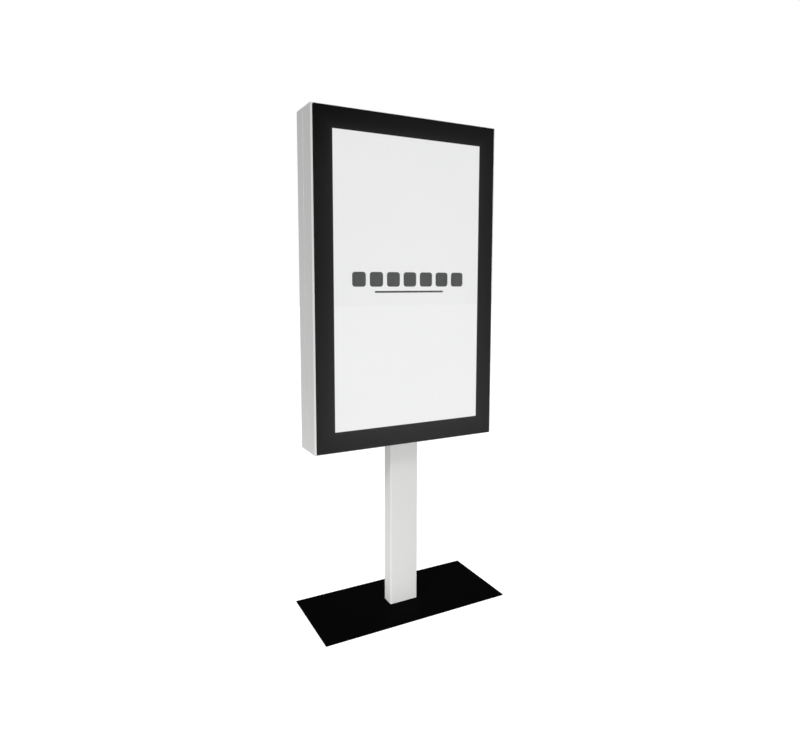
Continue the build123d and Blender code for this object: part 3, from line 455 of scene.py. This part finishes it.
@dataclass(frozen=True)
class TouchFilm:
    """Clear sensor sheet with its barely visible conductor grid."""

    name: str = "touch_film"
    pitch: float = 0.005
    half_gap: float = 0.494  # half the space between two lines, as a share of the pitch

    def build(self) -> bpy.types.Material:
        """Make the material.

        Returns:
            The material.
        """
        g = Graph(bpy.data.materials.new(self.name))
        lines: list[Value] = []
        for letter in ("X", "Z"):
            phase = (g.axis(letter) / self.pitch).fraction()
            lines.append((phase - 0.5).absolute() > self.half_gap)
        grid = (lines[0] + lines[1]).clamped()
        return g.surface({"Base Color": (0.6, 0.62, 0.62, 1.0), "Roughness": 0.1 + grid * 0.2,
                          "Specular IOR Level": 0.1, "Alpha": 0.004 + grid * 0.02})


@dataclass(frozen=True)
class LitPicture:
    """Display surface that shows a plain picture, with the backlight's slight unevenness."""

    name: str
    colour: Colour
    strength: float = 1.0
    unevenness: float = 0.02

    def build(self) -> bpy.types.Material:
        """Make the material.

        Returns:
            The material.
        """
        g = Graph(bpy.data.materials.new(self.name))
        lamps = g.noise(5.0, 1.0)
        dim = tuple(c * (1.0 - self.unevenness) for c in self.colour)
        return g.surface({
            "Base Color": (0.01, 0.01, 0.01, 1.0), "Roughness": 0.35 + lamps * 0.05,
            "Specular IOR Level": 0.1,
            "Emission Color": g.blend(lamps, self.colour, dim),
            "Emission Strength": self.strength})


@dataclass(frozen=True)
class MetalSheet:
    """Metal with rolling or brushing lines along one axis, and blotches of plating."""

    name: str
    colour: Colour
    dark: Colour
    roughness: float = 0.36
    along: Triple = (1.0, 1.0, 0.06)
    brush: float = 900.0
    spangle: float = 0.0
    scratch: float = 0.12
    metallic: float = 1.0

    def build(self) -> bpy.types.Material:
        """Make the material.

        Returns:
            The material.
        """
        g = Graph(bpy.data.materials.new(self.name))
        lines = g.noise(self.brush, 3.0, 0.6, g.stretched(self.along))
        patches = g.cells(90.0, "F1", output="Color")
        patch = g.node("ShaderNodeSeparateColor", {}, {0: patches})
        cloud = g.noise(14.0, 4.0)
        shade = (lines * (0.55 - self.spangle) + patch * self.spangle + cloud * 0.45).clamped()
        tint = g.blend(shade, self.dark, self.colour)
        rough = self.roughness + (lines - 0.5) * 0.12 + (cloud - 0.5) * 0.1
        return g.surface({
            "Base Color": tint, "Metallic": self.metallic, "Roughness": rough,
            "Normal": g.bump(lines, self.scratch, 0.0001, g.soft_edges(0.0004))})


@dataclass(frozen=True)
class Moulding:
    """Moulded plastic or rubber with a fine sparked grain."""

    name: str
    colour: Colour
    light: Colour
    roughness: float = 0.5
    grain: float = 1800.0
    depth: float = 0.25
    specular: float = 0.4

    def build(self) -> bpy.types.Material:
        """Make the material.

        Returns:
            The material.
        """
        g = Graph(bpy.data.materials.new(self.name))
        spark = g.noise(self.grain, 2.0, 0.6)
        cloud = g.noise(25.0, 3.0)
        dust = g.ramp(g.noise(60.0, 5.0, 0.7), ((0.55, 0.0), (0.85, 1.0)))
        tint = g.blend((cloud * 0.4 + dust * 0.3).clamped(), self.colour, self.light)
        return g.surface({
            "Base Color": tint, "Roughness": self.roughness + spark * 0.1 + dust * 0.08,
            "Specular IOR Level": self.specular,
            "Normal": g.bump(spark, self.depth, 0.0001, g.soft_edges(0.0004))})


@dataclass(frozen=True)
class OpenFoam:
    """Open-cell foam: round pores with painted shade at their bottoms."""

    name: str
    colour: Colour
    painted_pore_shade: Colour
    cells: float = 900.0

    def build(self) -> bpy.types.Material:
        """Make the material.

        Returns:
            The material.
        """
        g = Graph(bpy.data.materials.new(self.name))
        wall = g.cells(self.cells)
        # painted shade: each pore's middle is darkened towards this colour, where its bottom would lie in
        # shade
        tint = g.blend(g.ramp(wall, ((0.15, 0.0), (0.6, 1.0))), self.painted_pore_shade, self.colour)
        return g.surface({"Base Color": tint, "Roughness": 0.9 + wall * 0.05,
                          "Specular IOR Level": 0.15,
                          "Normal": g.bump(wall, 0.8, 0.0006)})


@dataclass(frozen=True)
class CircuitBoard:
    """Green solder mask with tracks and pads, and dark packages where the board is raised."""

    name: str
    face: float  # where the board's own face ends, along Y
    mask: Colour = (0.010, 0.075, 0.030)
    track: Colour = (0.016, 0.150, 0.055)
    pad: Colour = (0.75, 0.68, 0.50)
    package: Colour = (0.018, 0.018, 0.02)

    def build(self) -> bpy.types.Material:
        """Make the material.

        Returns:
            The material.
        """
        g = Graph(bpy.data.materials.new(self.name))
        runs = g.cells(160.0, "DISTANCE_TO_EDGE", g.stretched((1.0, 0.0, 2.6)))
        track = runs < 0.035
        pads = g.cells(300.0, "F1", g.stretched((1.0, 0.0, 1.0))) < 0.16
        raised = g.axis("Y") > self.face
        tint = g.blend(track, self.mask, self.track)
        tint = g.blend(pads, tint, self.pad)
        marks = g.noise(600.0, 2.0)
        chip = g.blend(marks, self.package, tuple(1.8 * c for c in self.package))
        tint = g.blend(raised, tint, chip)
        flat = 1.0 - raised
        return g.surface({
            "Base Color": tint, "Metallic": pads * flat * 0.9,
            "Roughness": 0.32 + raised * 0.2 + marks * 0.08,
            "Normal": g.bump(track * flat + marks * 0.1, 0.3, 0.0001)})


@dataclass(frozen=True)
class LampBoard:
    """White lamp strips, the lenses a little warmer than the board."""

    name: str = "led_board"
    board: Colour = (0.78, 0.79, 0.78)
    lens: Colour = (0.86, 0.80, 0.60)
    lens_start: float = 0.0

    def build(self) -> bpy.types.Material:
        """Make the material.

        Returns:
            The material.
        """
        g = Graph(bpy.data.materials.new(self.name))
        dome = g.axis("Y") < self.lens_start
        speck = g.noise(500.0, 2.0)
        tint = g.blend(dome, self.board, self.lens)
        return g.surface({"Base Color": tint, "Roughness": 0.3 + speck * 0.15,
                          "Normal": g.bump(speck, 0.1, 0.0001)})


@dataclass(frozen=True)
class LightGuide:
    """Clear acrylic sheet with its printed dots."""

    name: str = "acrylic"

    def build(self) -> bpy.types.Material:
        """Make the material.

        Returns:
            The material.
        """
        g = Graph(bpy.data.materials.new(self.name))
        dots = g.cells(260.0) < 0.25
        tint = g.blend(dots, (0.86, 0.89, 0.89), (0.96, 0.96, 0.95))
        return g.surface({"Base Color": tint, "Roughness": 0.12 + dots * 0.4})


# ------------------------------------------------------------------ mesh help
def dress(nodes: Iterable[str], finish: bpy.types.Material) -> None:
    """Give CAD nodes a finish.

    Args:
        nodes: the nodes' names.
        finish: the material they get.
    """
    for name in nodes:
        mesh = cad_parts[name].data
        mesh.materials.clear()
        mesh.materials.append(finish)
        LOG.info("finish %s on %s", finish.name, name)


def add_piece(name: str, mesh: bmesh.types.BMesh, finish: bpy.types.Material, body: Body) -> bpy.types.Object:
    """Turn a mesh into a piece that rides on a body.

    Args:
        name: the piece's name.
        mesh: its mesh, in the row frame.
        finish: its material.
        body: the body that it moves with.

    Returns:
        The new object.
    """
    data = bpy.data.meshes.new(name)
    mesh.normal_update()
    mesh.to_mesh(data)
    mesh.free()
    data.materials.append(finish)
    piece = bpy.data.objects.new(name, data)
    bpy.context.scene.collection.objects.link(piece)
    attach(piece, body.value)
    LOG.info("piece %s on %s", name, body.value)
    return piece


def rounded_tile(mesh: bmesh.types.BMesh, centre: Vector, width: float, height: float,
                 corner: float, thickness: float, segments: int = 8) -> None:
    """Add a thin upright tile with round corners that faces -Y.

    Args:
        mesh: the mesh to add to.
        centre: middle of the tile's back.
        width: size along X.
        height: size along Z.
        corner: corner radius.
        thickness: size along Y.
        segments: steps in each corner.
    """
    outline: list[Vector] = []
    for turn, (sx, sz) in enumerate(((1, 1), (-1, 1), (-1, -1), (1, -1))):
        middle = Vector((sx * (width / 2 - corner), 0, sz * (height / 2 - corner)))
        for step in range(segments + 1):
            angle = math.radians(90 * turn + 90 * step / segments)
            outline.append(centre + middle + corner * Vector((math.cos(angle), 0,
                                                              math.sin(angle))))
    back = [mesh.verts.new(point) for point in outline]
    front = [mesh.verts.new(point - Vector((0, thickness, 0))) for point in outline]
    mesh.faces.new(back[::-1])
    mesh.faces.new(front)
    for index in range(len(outline)):
        after = (index + 1) % len(outline)
        mesh.faces.new((back[index], back[after], front[after], front[index]))


# ------------------------------------------------------------------ sub-assemblies
@dataclass
class Base:
    """Black base plate on its rubber pads, with the column's foot screws."""

    plate: PowderCoat = PowderCoat("base_black", (0.0014, 0.0014, 0.0015), (0.012, 0.012, 0.012),
                                   roughness=0.66, specular=0.015, peel=0.22, grain=900.0,
                                   wear=0.12)
    pads: Moulding = Moulding("rubber", (0.016, 0.016, 0.016), (0.05, 0.05, 0.05),
                              roughness=0.72, specular=0.25)

    def make(self, kit: "Kit") -> None:
        """Dress the plate, pads and screws.

        Args:
            kit: the shared finishes.
        """
        dress(["base_plate"], self.plate.build())
        dress(["base_pads", "cable_grommet"], self.pads.build())
        dress(["base_screws"], kit.zinc)


@dataclass
class Column:
    """White column with its welded foot, cap and bolts."""

    def make(self, kit: "Kit") -> None:
        """Dress the tube and what is in it.

        Args:
            kit: the shared finishes.
        """
        dress(["column_tube"], kit.white)
        dress(["column_foot", "column_bolts"], kit.zinc)
        dress(["column_cap"], kit.black_plastic)


@dataclass
class HeadShell:
    """White front frame and rear housing with the foam-filled shadow gap."""

    foam: OpenFoam = OpenFoam("seam_foam", (0.045, 0.045, 0.048), (0.006, 0.006, 0.006))

    def make(self, kit: "Kit") -> None:
        """Dress both halves, the gasket and the screws.

        Args:
            kit: the shared finishes.
        """
        dress(["front_frame", "rear_housing"], kit.white)
        dress(["seam_gasket"], self.foam.build())
        dress(["housing_screws"], kit.zinc)


@dataclass
class GlassFront:
    """Black front: cover glass with its border print, tape, bezel and touch sensor."""

    cell_border: float = 0.005
    glass: CoverGlass = CoverGlass()
    border: BorderPrint = BorderPrint()
    film: TouchFilm = TouchFilm()
    bezel: PowderCoat = PowderCoat("bezel_black", (0.0022, 0.0022, 0.0024), (0.012, 0.012, 0.012),
                                   roughness=0.5, specular=0.06, peel=0.10, wear=0.10)
    tape: OpenFoam = OpenFoam("mounting_tape", (0.02, 0.02, 0.02), (0.005, 0.005, 0.005), 1600.0)

    def make(self, kit: "Kit") -> None:
        """Dress the glass and everything bonded to it.

        Args:
            kit: the shared finishes; not used here.
        """
        dress(["front_glass"], self.glass.build())
        dress(["glass_border"], self.border.build(*self.window()))
        dress(["touch_sensor"], self.film.build())
        dress(["bezel_frame"], self.bezel.build())
        dress(["glass_tape"], self.tape.build())

    def window(self) -> tuple[Vector, Vector]:
        """Corners of the lit window: the cell less its own border.

        Returns:
            The lowest and the highest corner.
        """
        low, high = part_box("lcd_cell")
        inset = Vector((self.cell_border, 0, self.cell_border))
        return low + inset, high - inset


@dataclass
class Display:
    """Lit display with a plain generic picture: one row of tiles over a thin bar."""

    tile: float = 0.054
    tile_gap: float = 0.016
    tile_corner: float = 0.011
    tiles: int = 7
    row_lift: float = 0.018  # the row's middle above the display's middle
    bar_drop: float = 0.046
    bar_height: float = 0.007
    bar_share: float = 0.62  # of the row's width
    bar_corner: float = 0.49  # of the bar's height
    layer: float = 0.0002
    lamp_board: float = 1.7 * MM  # from the lamp strips' back to where their lenses start
    paper: LitPicture = LitPicture("screen", (0.870, 0.870, 0.870))
    ink: LitPicture = LitPicture("screen_ink", (0.045, 0.045, 0.048))

    def make(self, kit: "Kit") -> None:
        """Dress the module and add the picture.

        Args:
            kit: the shared finishes.
        """
        dress(["lcd_cell"], self.paper.build())
        dress(["light_guide"], LightGuide().build())
        dress(["lcd_chassis"], kit.zinc)
        _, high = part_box("led_strips")
        dress(["led_strips"], LampBoard(lens_start=high.y - self.lamp_board).build())
        dress(["spacers"], kit.brass)
        self.picture()

    def picture(self) -> None:
        """Add the tiles and the bar just in front of the display's face."""
        low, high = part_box("lcd_cell")
        middle = (low + high) / 2
        face = low.y
        pitch = self.tile + self.tile_gap
        mesh = bmesh.new()
        for index in range(self.tiles):
            x = middle.x + (index - (self.tiles - 1) / 2) * pitch
            rounded_tile(mesh, Vector((x, face, middle.z + self.row_lift)), self.tile,
                         self.tile, self.tile_corner, self.layer)
        width = pitch * self.tiles - self.tile_gap
        rounded_tile(mesh, Vector((middle.x, face, middle.z + self.row_lift - self.bar_drop)),
                     width * self.bar_share, self.bar_height,
                     self.bar_height * self.bar_corner, self.layer)
        add_piece("screen_tiles", mesh, self.ink.build(), Body.KIOSK)


@dataclass
class MountingFrame:
    """Zinc-plated crossbars, uprights, brackets and equipment plates."""

    def make(self, kit: "Kit") -> None:
        """Dress the frame."""
        dress(["crossbars", "uprights", "frame_brackets", "equipment_plates"], kit.sheet_zinc)
        dress(["frame_screws"], kit.zinc)


@dataclass
class ServiceDoor:
    """White rear door with its hinges, locks and intake filter."""

    hinge: MetalSheet = MetalSheet("hinge_steel", (0.62, 0.62, 0.61), (0.42, 0.42, 0.42), 0.3)
    lock: MetalSheet = MetalSheet("lock_metal", (0.78, 0.77, 0.74), (0.55, 0.54, 0.52), 0.2,
                                  (1.0, 1.0, 1.0), 400.0, 0.0, 0.05)
    filter_foam: OpenFoam = OpenFoam("filter_foam", (0.035, 0.035, 0.037), (0.004, 0.004, 0.004),
                                     700.0)

    def make(self, kit: "Kit") -> None:
        """Dress the door and its hardware.

        Args:
            kit: the shared finishes.
        """
        dress(["service_door"], kit.white)
        dress(["hinge_frame_leaves", "hinge_door_leaves", "hinge_pins"], self.hinge.build())
        dress(["hinge_door_screws"], kit.zinc)
        dress(["lock_bodies", "lock_lower_core", "lock_upper_core", "lock_lower_cam",
               "lock_upper_cam"], self.lock.build())
        dress(["intake_filter"], self.filter_foam.build())
        dress(["filter_frame"], kit.black_coat)


@dataclass
class Cooling:
    """Outlet fans behind their punched guards."""

    def make(self, kit: "Kit") -> None:
        """Dress the fans and guards.

        Args:
            kit: the shared finishes.
        """
        dress(["fan_housings"], kit.black_plastic)
        dress(["fan_left_rotor", "fan_right_rotor"], kit.dark_plastic)
        dress(["fan_guards"], kit.black_coat)


@dataclass
class Electrics:
    """Power supply, media player, boards, inlet panel and the leads between them."""

    lead_radius: float = 0.0025
    tie_inset: float = 0.012
    tie_width: float = 0.0036
    tie_sheet: float = 0.0011
    tie_slack: float = 1.02  # the band's inside over the lead's radius
    tie_head: Triple = (1.5, 2.2, 1.4)  # head's size in band widths and sheet thicknesses
    tail_rise: float = 1.9  # tail's middle above the head's, in band widths
    tail_length: float = 2.6  # in band widths
    crossing_share: float = 0.5  # of the lead's radius, from its rearmost line
    edge_share: float = 0.2  # broken edge of a small block, of its least size
    round_steps: int = 24
    lamp_radius: float = 0.0022
    lamp_offset: float = 0.014
    lamp_rings: int = 5
    lamp_dome: float = 0.6  # height of the lamp over its radius
    board_face: float = 1.6 * MM
    supply_board_face: float = 5.6 * MM
    face_margin: float = 0.05 * MM
    alloy: MetalSheet = MetalSheet("player_alloy", (0.075, 0.075, 0.08), (0.04, 0.04, 0.043),
                                   0.42, (1.0, 1.0, 0.05), 1100.0, 0.0, 0.10, 0.7)
    ready: LitPicture = LitPicture("ready_lamp", (0.05, 0.85, 0.18), 1.2, 0.2)

    def make(self, kit: "Kit") -> None:
        """Dress the equipment.

        Args:
            kit: the shared finishes.
        """
        dress(["inlet_bracket", "power_supply_case", "power_supply_lid"], kit.sheet_zinc)
        dress(["player_case", "player_lid"], self.alloy.build())
        dress(["mains_inlet", "switch_body", "network_coupler", "player_button"],
              kit.black_plastic)
        dress(["switch_rocker"], kit.dark_plastic)
        for name in ("display_board", "touch_controller", "power_supply_board"):
            low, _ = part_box(name)
            face = self.supply_board_face if name == "power_supply_board" else self.board_face
            board = CircuitBoard(f"circuit_{name}", low.y + face + self.face_margin)
            dress([name], board.build())
        dress(["mains_lead", "supply_lead", "display_lead", "touch_lead"], kit.jacket)
        self.ties(kit)
        self.lamps()

    def ties(self, kit: "Kit") -> None:
        """Add a tie round each lead at both sides of the column.

        Args:
            kit: the shared finishes.
        """
        mesh = bmesh.new()
        column_low, column_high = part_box("column_tube")
        for name in ("supply_lead", "touch_lead"):
            middle_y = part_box(name)[1].y - self.lead_radius
            level = self.crossing_level(name)
            for x in (column_low.x + self.tie_inset, column_high.x - self.tie_inset):
                self.tie(mesh, Vector((x, middle_y, level)))
        add_piece("lead_ties", mesh, kit.tie, Body.KIOSK)

    def crossing_level(self, name: str) -> float:
        """Height of a lead where it crosses behind the column.

        Args:
            name: the lead's node.

        Returns:
            The middle of the level stretch, along Z.
        """
        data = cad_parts[name].data
        back = max(vertex.co.y for vertex in data.vertices)
        levels = [vertex.co.z for vertex in data.vertices
                  if vertex.co.y > back - self.lead_radius * self.crossing_share]
        return (min(levels) + max(levels)) / 2

    def tie(self, mesh: bmesh.types.BMesh, centre: Vector) -> None:
        """Add one tie: a flat band round the lead, its square head and the cut tail.

        Args:
            mesh: the mesh to add to.
            centre: the lead's middle where the tie sits.
        """
        loops: list[list[bmesh.types.BMVert]] = []
        inside = self.lead_radius * self.tie_slack
        for radius in (inside, inside + self.tie_sheet):
            for side in (-0.5, 0.5):
                loop = []
                for step in range(self.round_steps):
                    angle = 2 * math.pi * step / self.round_steps
                    loop.append(mesh.verts.new(centre + Vector((
                        side * self.tie_width, radius * math.cos(angle),
                        radius * math.sin(angle)))))
                loops.append(loop)
        inner_left, inner_right, outer_left, outer_right = loops
        for first, second in ((outer_left, outer_right), (inner_right, inner_left),
                              (outer_right, inner_right), (inner_left, outer_left)):
            for step in range(self.round_steps):
                after = (step + 1) % self.round_steps
                mesh.faces.new((first[step], first[after], second[after], second[step]))
        head = centre + Vector((0, self.lead_radius + self.tie_sheet, 0))
        wide, thick, high = self.tie_head
        self.lump(mesh, head, Vector((self.tie_width * wide, self.tie_sheet * thick,
                                      self.tie_width * high)))
        tail = head + Vector((0, 0, self.tie_width * self.tail_rise))
        self.lump(mesh, tail, Vector((self.tie_width, self.tie_sheet,
                                      self.tie_width * self.tail_length)))

    def lump(self, mesh: bmesh.types.BMesh, centre: Vector, size: Vector) -> None:
        """Add a small block with broken edges.

        Args:
            mesh: the mesh to add to.
            centre: its middle.
            size: its size along each axis.
        """
        shape = Matrix.Translation(centre) @ Matrix.Diagonal((*size, 1.0))
        made = bmesh.ops.create_cube(mesh, size=1.0, matrix=shape)
        edges = {edge for vertex in made["verts"] for edge in vertex.link_edges}
        bmesh.ops.bevel(mesh, geom=list(edges), offset=min(size) * self.edge_share, segments=2,
                        affect="EDGES", profile=0.5)

    def lamps(self) -> None:
        """Add the player's round ready lamp beside its button."""
        low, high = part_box("player_button")
        middle = (low + high) / 2
        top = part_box("player_case")[1].z
        mesh = bmesh.new()
        spot = Vector((middle.x + self.lamp_offset, middle.y, top))
        crown = mesh.verts.new(spot + Vector((0, 0, self.lamp_radius * self.lamp_dome)))
        previous: list[bmesh.types.BMVert] = []
        for ring in range(1, self.lamp_rings + 1):
            lean = math.radians(90 * ring / self.lamp_rings)
            loop = [mesh.verts.new(spot + Vector((
                self.lamp_radius * math.sin(lean) * math.cos(math.tau * step / self.round_steps),
                self.lamp_radius * math.sin(lean) * math.sin(math.tau * step / self.round_steps),
                self.lamp_radius * self.lamp_dome * math.cos(lean))))
                for step in range(self.round_steps)]
            for step in range(self.round_steps):
                after = (step + 1) % self.round_steps
                if previous:
                    mesh.faces.new((previous[step], loop[step], loop[after], previous[after]))
                else:
                    mesh.faces.new((crown, loop[step], loop[after]))
            previous = loop
        mesh.faces.new(previous[::-1])
        add_piece("player_lamp", mesh, self.ready.build(), Body.KIOSK)


class Kit:
    """Finishes that several sub-assemblies share."""

    def __init__(self) -> None:
        """Build each shared finish once."""
        self.white = PowderCoat("white_paint", (0.80, 0.80, 0.79), (0.62, 0.62, 0.61),
                                wear=0.18).build()
        self.black_coat = PowderCoat("black_paint", (0.018, 0.018, 0.019), (0.07, 0.07, 0.07),
                                     roughness=0.45, specular=0.35).build()
        self.zinc = MetalSheet("zinc_fastener", (0.66, 0.67, 0.68), (0.42, 0.43, 0.45), 0.3,
                               (1.0, 1.0, 1.0), 700.0, 0.0, 0.08).build()
        self.sheet_zinc = MetalSheet("zinc_steel", (0.60, 0.61, 0.62), (0.40, 0.41, 0.43), 0.38,
                                     (0.08, 1.0, 1.0), 700.0, 0.35).build()
        self.brass = MetalSheet("nickel_spacer", (0.72, 0.68, 0.58), (0.5, 0.47, 0.4), 0.28,
                                (1.0, 1.0, 1.0), 500.0).build()
        self.black_plastic = Moulding("black_plastic", (0.018, 0.018, 0.019),
                                      (0.05, 0.05, 0.05)).build()
        self.dark_plastic = Moulding("dark_plastic", (0.028, 0.028, 0.03), (0.06, 0.06, 0.06),
                                     roughness=0.36, depth=0.12).build()
        self.tie = Moulding("tie_nylon", (0.55, 0.55, 0.52), (0.66, 0.66, 0.64),
                            roughness=0.38, grain=1400.0, depth=0.08).build()
        self.jacket = Moulding("lead_jacket", (0.016, 0.016, 0.017), (0.04, 0.04, 0.04),
                               roughness=0.45, grain=2600.0, depth=0.1).build()


# ------------------------------------------------------------------ studio
class LampKind(Enum):
    """Kinds of studio lamp."""

    SUN = "SUN"
    PANEL = "AREA"


@dataclass(frozen=True)
class Lamp:
    """One soft lamp that no lens or gloss sees.

    A sun's size is its angle in degrees, a panel's is its side in metres.
    """

    name: str
    kind: LampKind
    strength: float
    towards: Triple  # from the object to the lamp
    size: float
    place: Triple = (0.0, 0.0, 0.0)

    def make(self) -> None:
        """Hang the lamp."""
        data = bpy.data.lights.new(self.name, self.kind.value)
        data.energy = self.strength
        if self.kind is LampKind.SUN:
            data.angle = math.radians(self.size)
        else:
            data.size = self.size
        lamp = bpy.data.objects.new(self.name, data)
        lamp.location = self.place
        lamp.rotation_euler = Vector(self.towards).to_track_quat("Z", "Y").to_euler()
        lamp.visible_camera = False
        lamp.visible_glossy = False
        bpy.context.scene.collection.objects.link(lamp)


@dataclass
class Studio:
    """Camera, pale floor and soft light."""

    eye: Vector = field(default_factory=lambda: Vector((-1.089, -2.049, 1.2845)))
    turn: float = 27.13  # degrees from +Y towards +X
    dip: float = 5.83  # degrees below the horizon
    lens: float = 26.73
    shift: tuple[float, float] = (0.0098, -0.0378)
    floor_size: float = 60.0
    floor_glow: float = 0.97
    lamps: tuple[Lamp, ...] = (
        Lamp("key", LampKind.SUN, 0.95, (-1.5, -1.0, 2.0), 12.0),
        Lamp("front_fill", LampKind.SUN, 1.25, (-0.22, -1.0, 0.10), 16.0),
        Lamp("back_fill", LampKind.SUN, 1.3, (0.8, 1.0, 0.6), 60.0),
        Lamp("low_panel", LampKind.PANEL, 2.7, (-0.9, -0.34, 0.0), 0.25, (-0.85, -0.32, 0.03)))
    room: tuple[tuple[float, float], ...] = ((0.35, 0.20), (0.65, 0.47))
    mirrored: tuple[tuple[float, float], ...] = (
        (0.36, 0.78), (0.41, 0.80), (0.5, 0.52), (0.59, 0.46), (0.64, 0.14), (0.75, 0.10))
    mirror_turn: float = 28.9  # degrees from -Y towards +X of the brightest part of the gloss
    mirror_fall: float = 11.0
    mirror_behind: float = 0.55
    fade_floor: float = 0.6  # the gloss is never dimmer than this to the sides

    def make(self) -> None:
        """Set up the whole studio."""
        self.camera()
        self.sky()
        for lamp in self.lamps:
            lamp.make()
        self.floor()
        bpy.context.scene.view_settings.view_transform = "Standard"

    def camera(self) -> None:
        """Place the camera and make it the scene's."""
        data = bpy.data.cameras.new("camera")
        data.lens = self.lens
        data.shift_x, data.shift_y = self.shift
        data.clip_end = 200.0
        camera = bpy.data.objects.new("camera", data)
        camera.location = self.eye
        camera.rotation_euler = (math.radians(90 - self.dip), 0, -math.radians(self.turn))
        bpy.context.scene.collection.objects.link(camera)
        bpy.context.scene.camera = camera

    def sky(self) -> None:
        """White backdrop for the eye, soft light from the room, and a dimmer room in the gloss."""
        world = bpy.data.worlds.new("studio")
        bpy.context.scene.world = world
        g = Graph(world)
        way = g.node("ShaderNodeTexCoord", {}, {}, "Generated")
        height = g.node("ShaderNodeSeparateXYZ", {}, {0: way}, "Z") * 0.5 + 0.5
        light = g.background(g.ramp(height, self.room))
        turn = math.radians(self.mirror_turn)
        across = g.node("ShaderNodeVectorMath", {"operation": "DOT_PRODUCT"},
                        {0: way, 1: (math.cos(turn), math.sin(turn), 0.0)}, "Value")
        fade = (1.0 - across * across * self.mirror_fall).greater(self.fade_floor)
        behind = g.node("ShaderNodeSeparateXYZ", {}, {0: way}, "Y").greater(0.0)
        gloss = g.background(g.ramp(height, self.mirrored, smooth=True),
                             fade + behind * self.mirror_behind)
        seen = g.background((1.0, 1.0, 1.0, 1.0))
        lit = g.mix_shader(g.node("ShaderNodeLightPath", {}, {}, "Is Glossy Ray"), light, gloss)
        g.close(g.mix_shader(g.node("ShaderNodeLightPath", {}, {}, "Is Camera Ray"), lit, seen))

    def floor(self) -> None:
        """Pale floor that runs out to the backdrop; its glow is for the eye alone."""
        mesh = bmesh.new()
        bmesh.ops.create_grid(mesh, x_segments=1, y_segments=1, size=self.floor_size / 2)
        data = bpy.data.meshes.new("floor")
        mesh.to_mesh(data)
        mesh.free()
        graph = Graph(bpy.data.materials.new("floor"))
        cloud = graph.noise(0.8, 2.0)
        pale = graph.blend(cloud, (0.98, 0.98, 0.98), (1.0, 1.0, 1.0))
        data.materials.append(graph.surface({
            "Base Color": (0.30, 0.30, 0.30, 1.0), "Roughness": 0.8,
            "Specular IOR Level": 0.0, "Emission Color": pale,
            "Emission Strength": self.floor_glow}))
        floor = bpy.data.objects.new("floor", data)
        floor.visible_diffuse = False
        floor.visible_glossy = False
        floor.visible_shadow = False
        bpy.context.scene.collection.objects.link(floor)


def main() -> None:
    """Build every sub-assembly in order, then the studio."""
    logging.basicConfig(level=logging.INFO, format="%(name)s: %(message)s")
    kit = Kit()
    for assembly in (Base(), Column(), HeadShell(), GlassFront(), Display(), MountingFrame(),
                     ServiceDoor(), Cooling(), Electrics()):
        LOG.info("sub-assembly %s", type(assembly).__name__)
        assembly.make(kit)
    Studio().make()


if __name__ == "__main__":
    main()
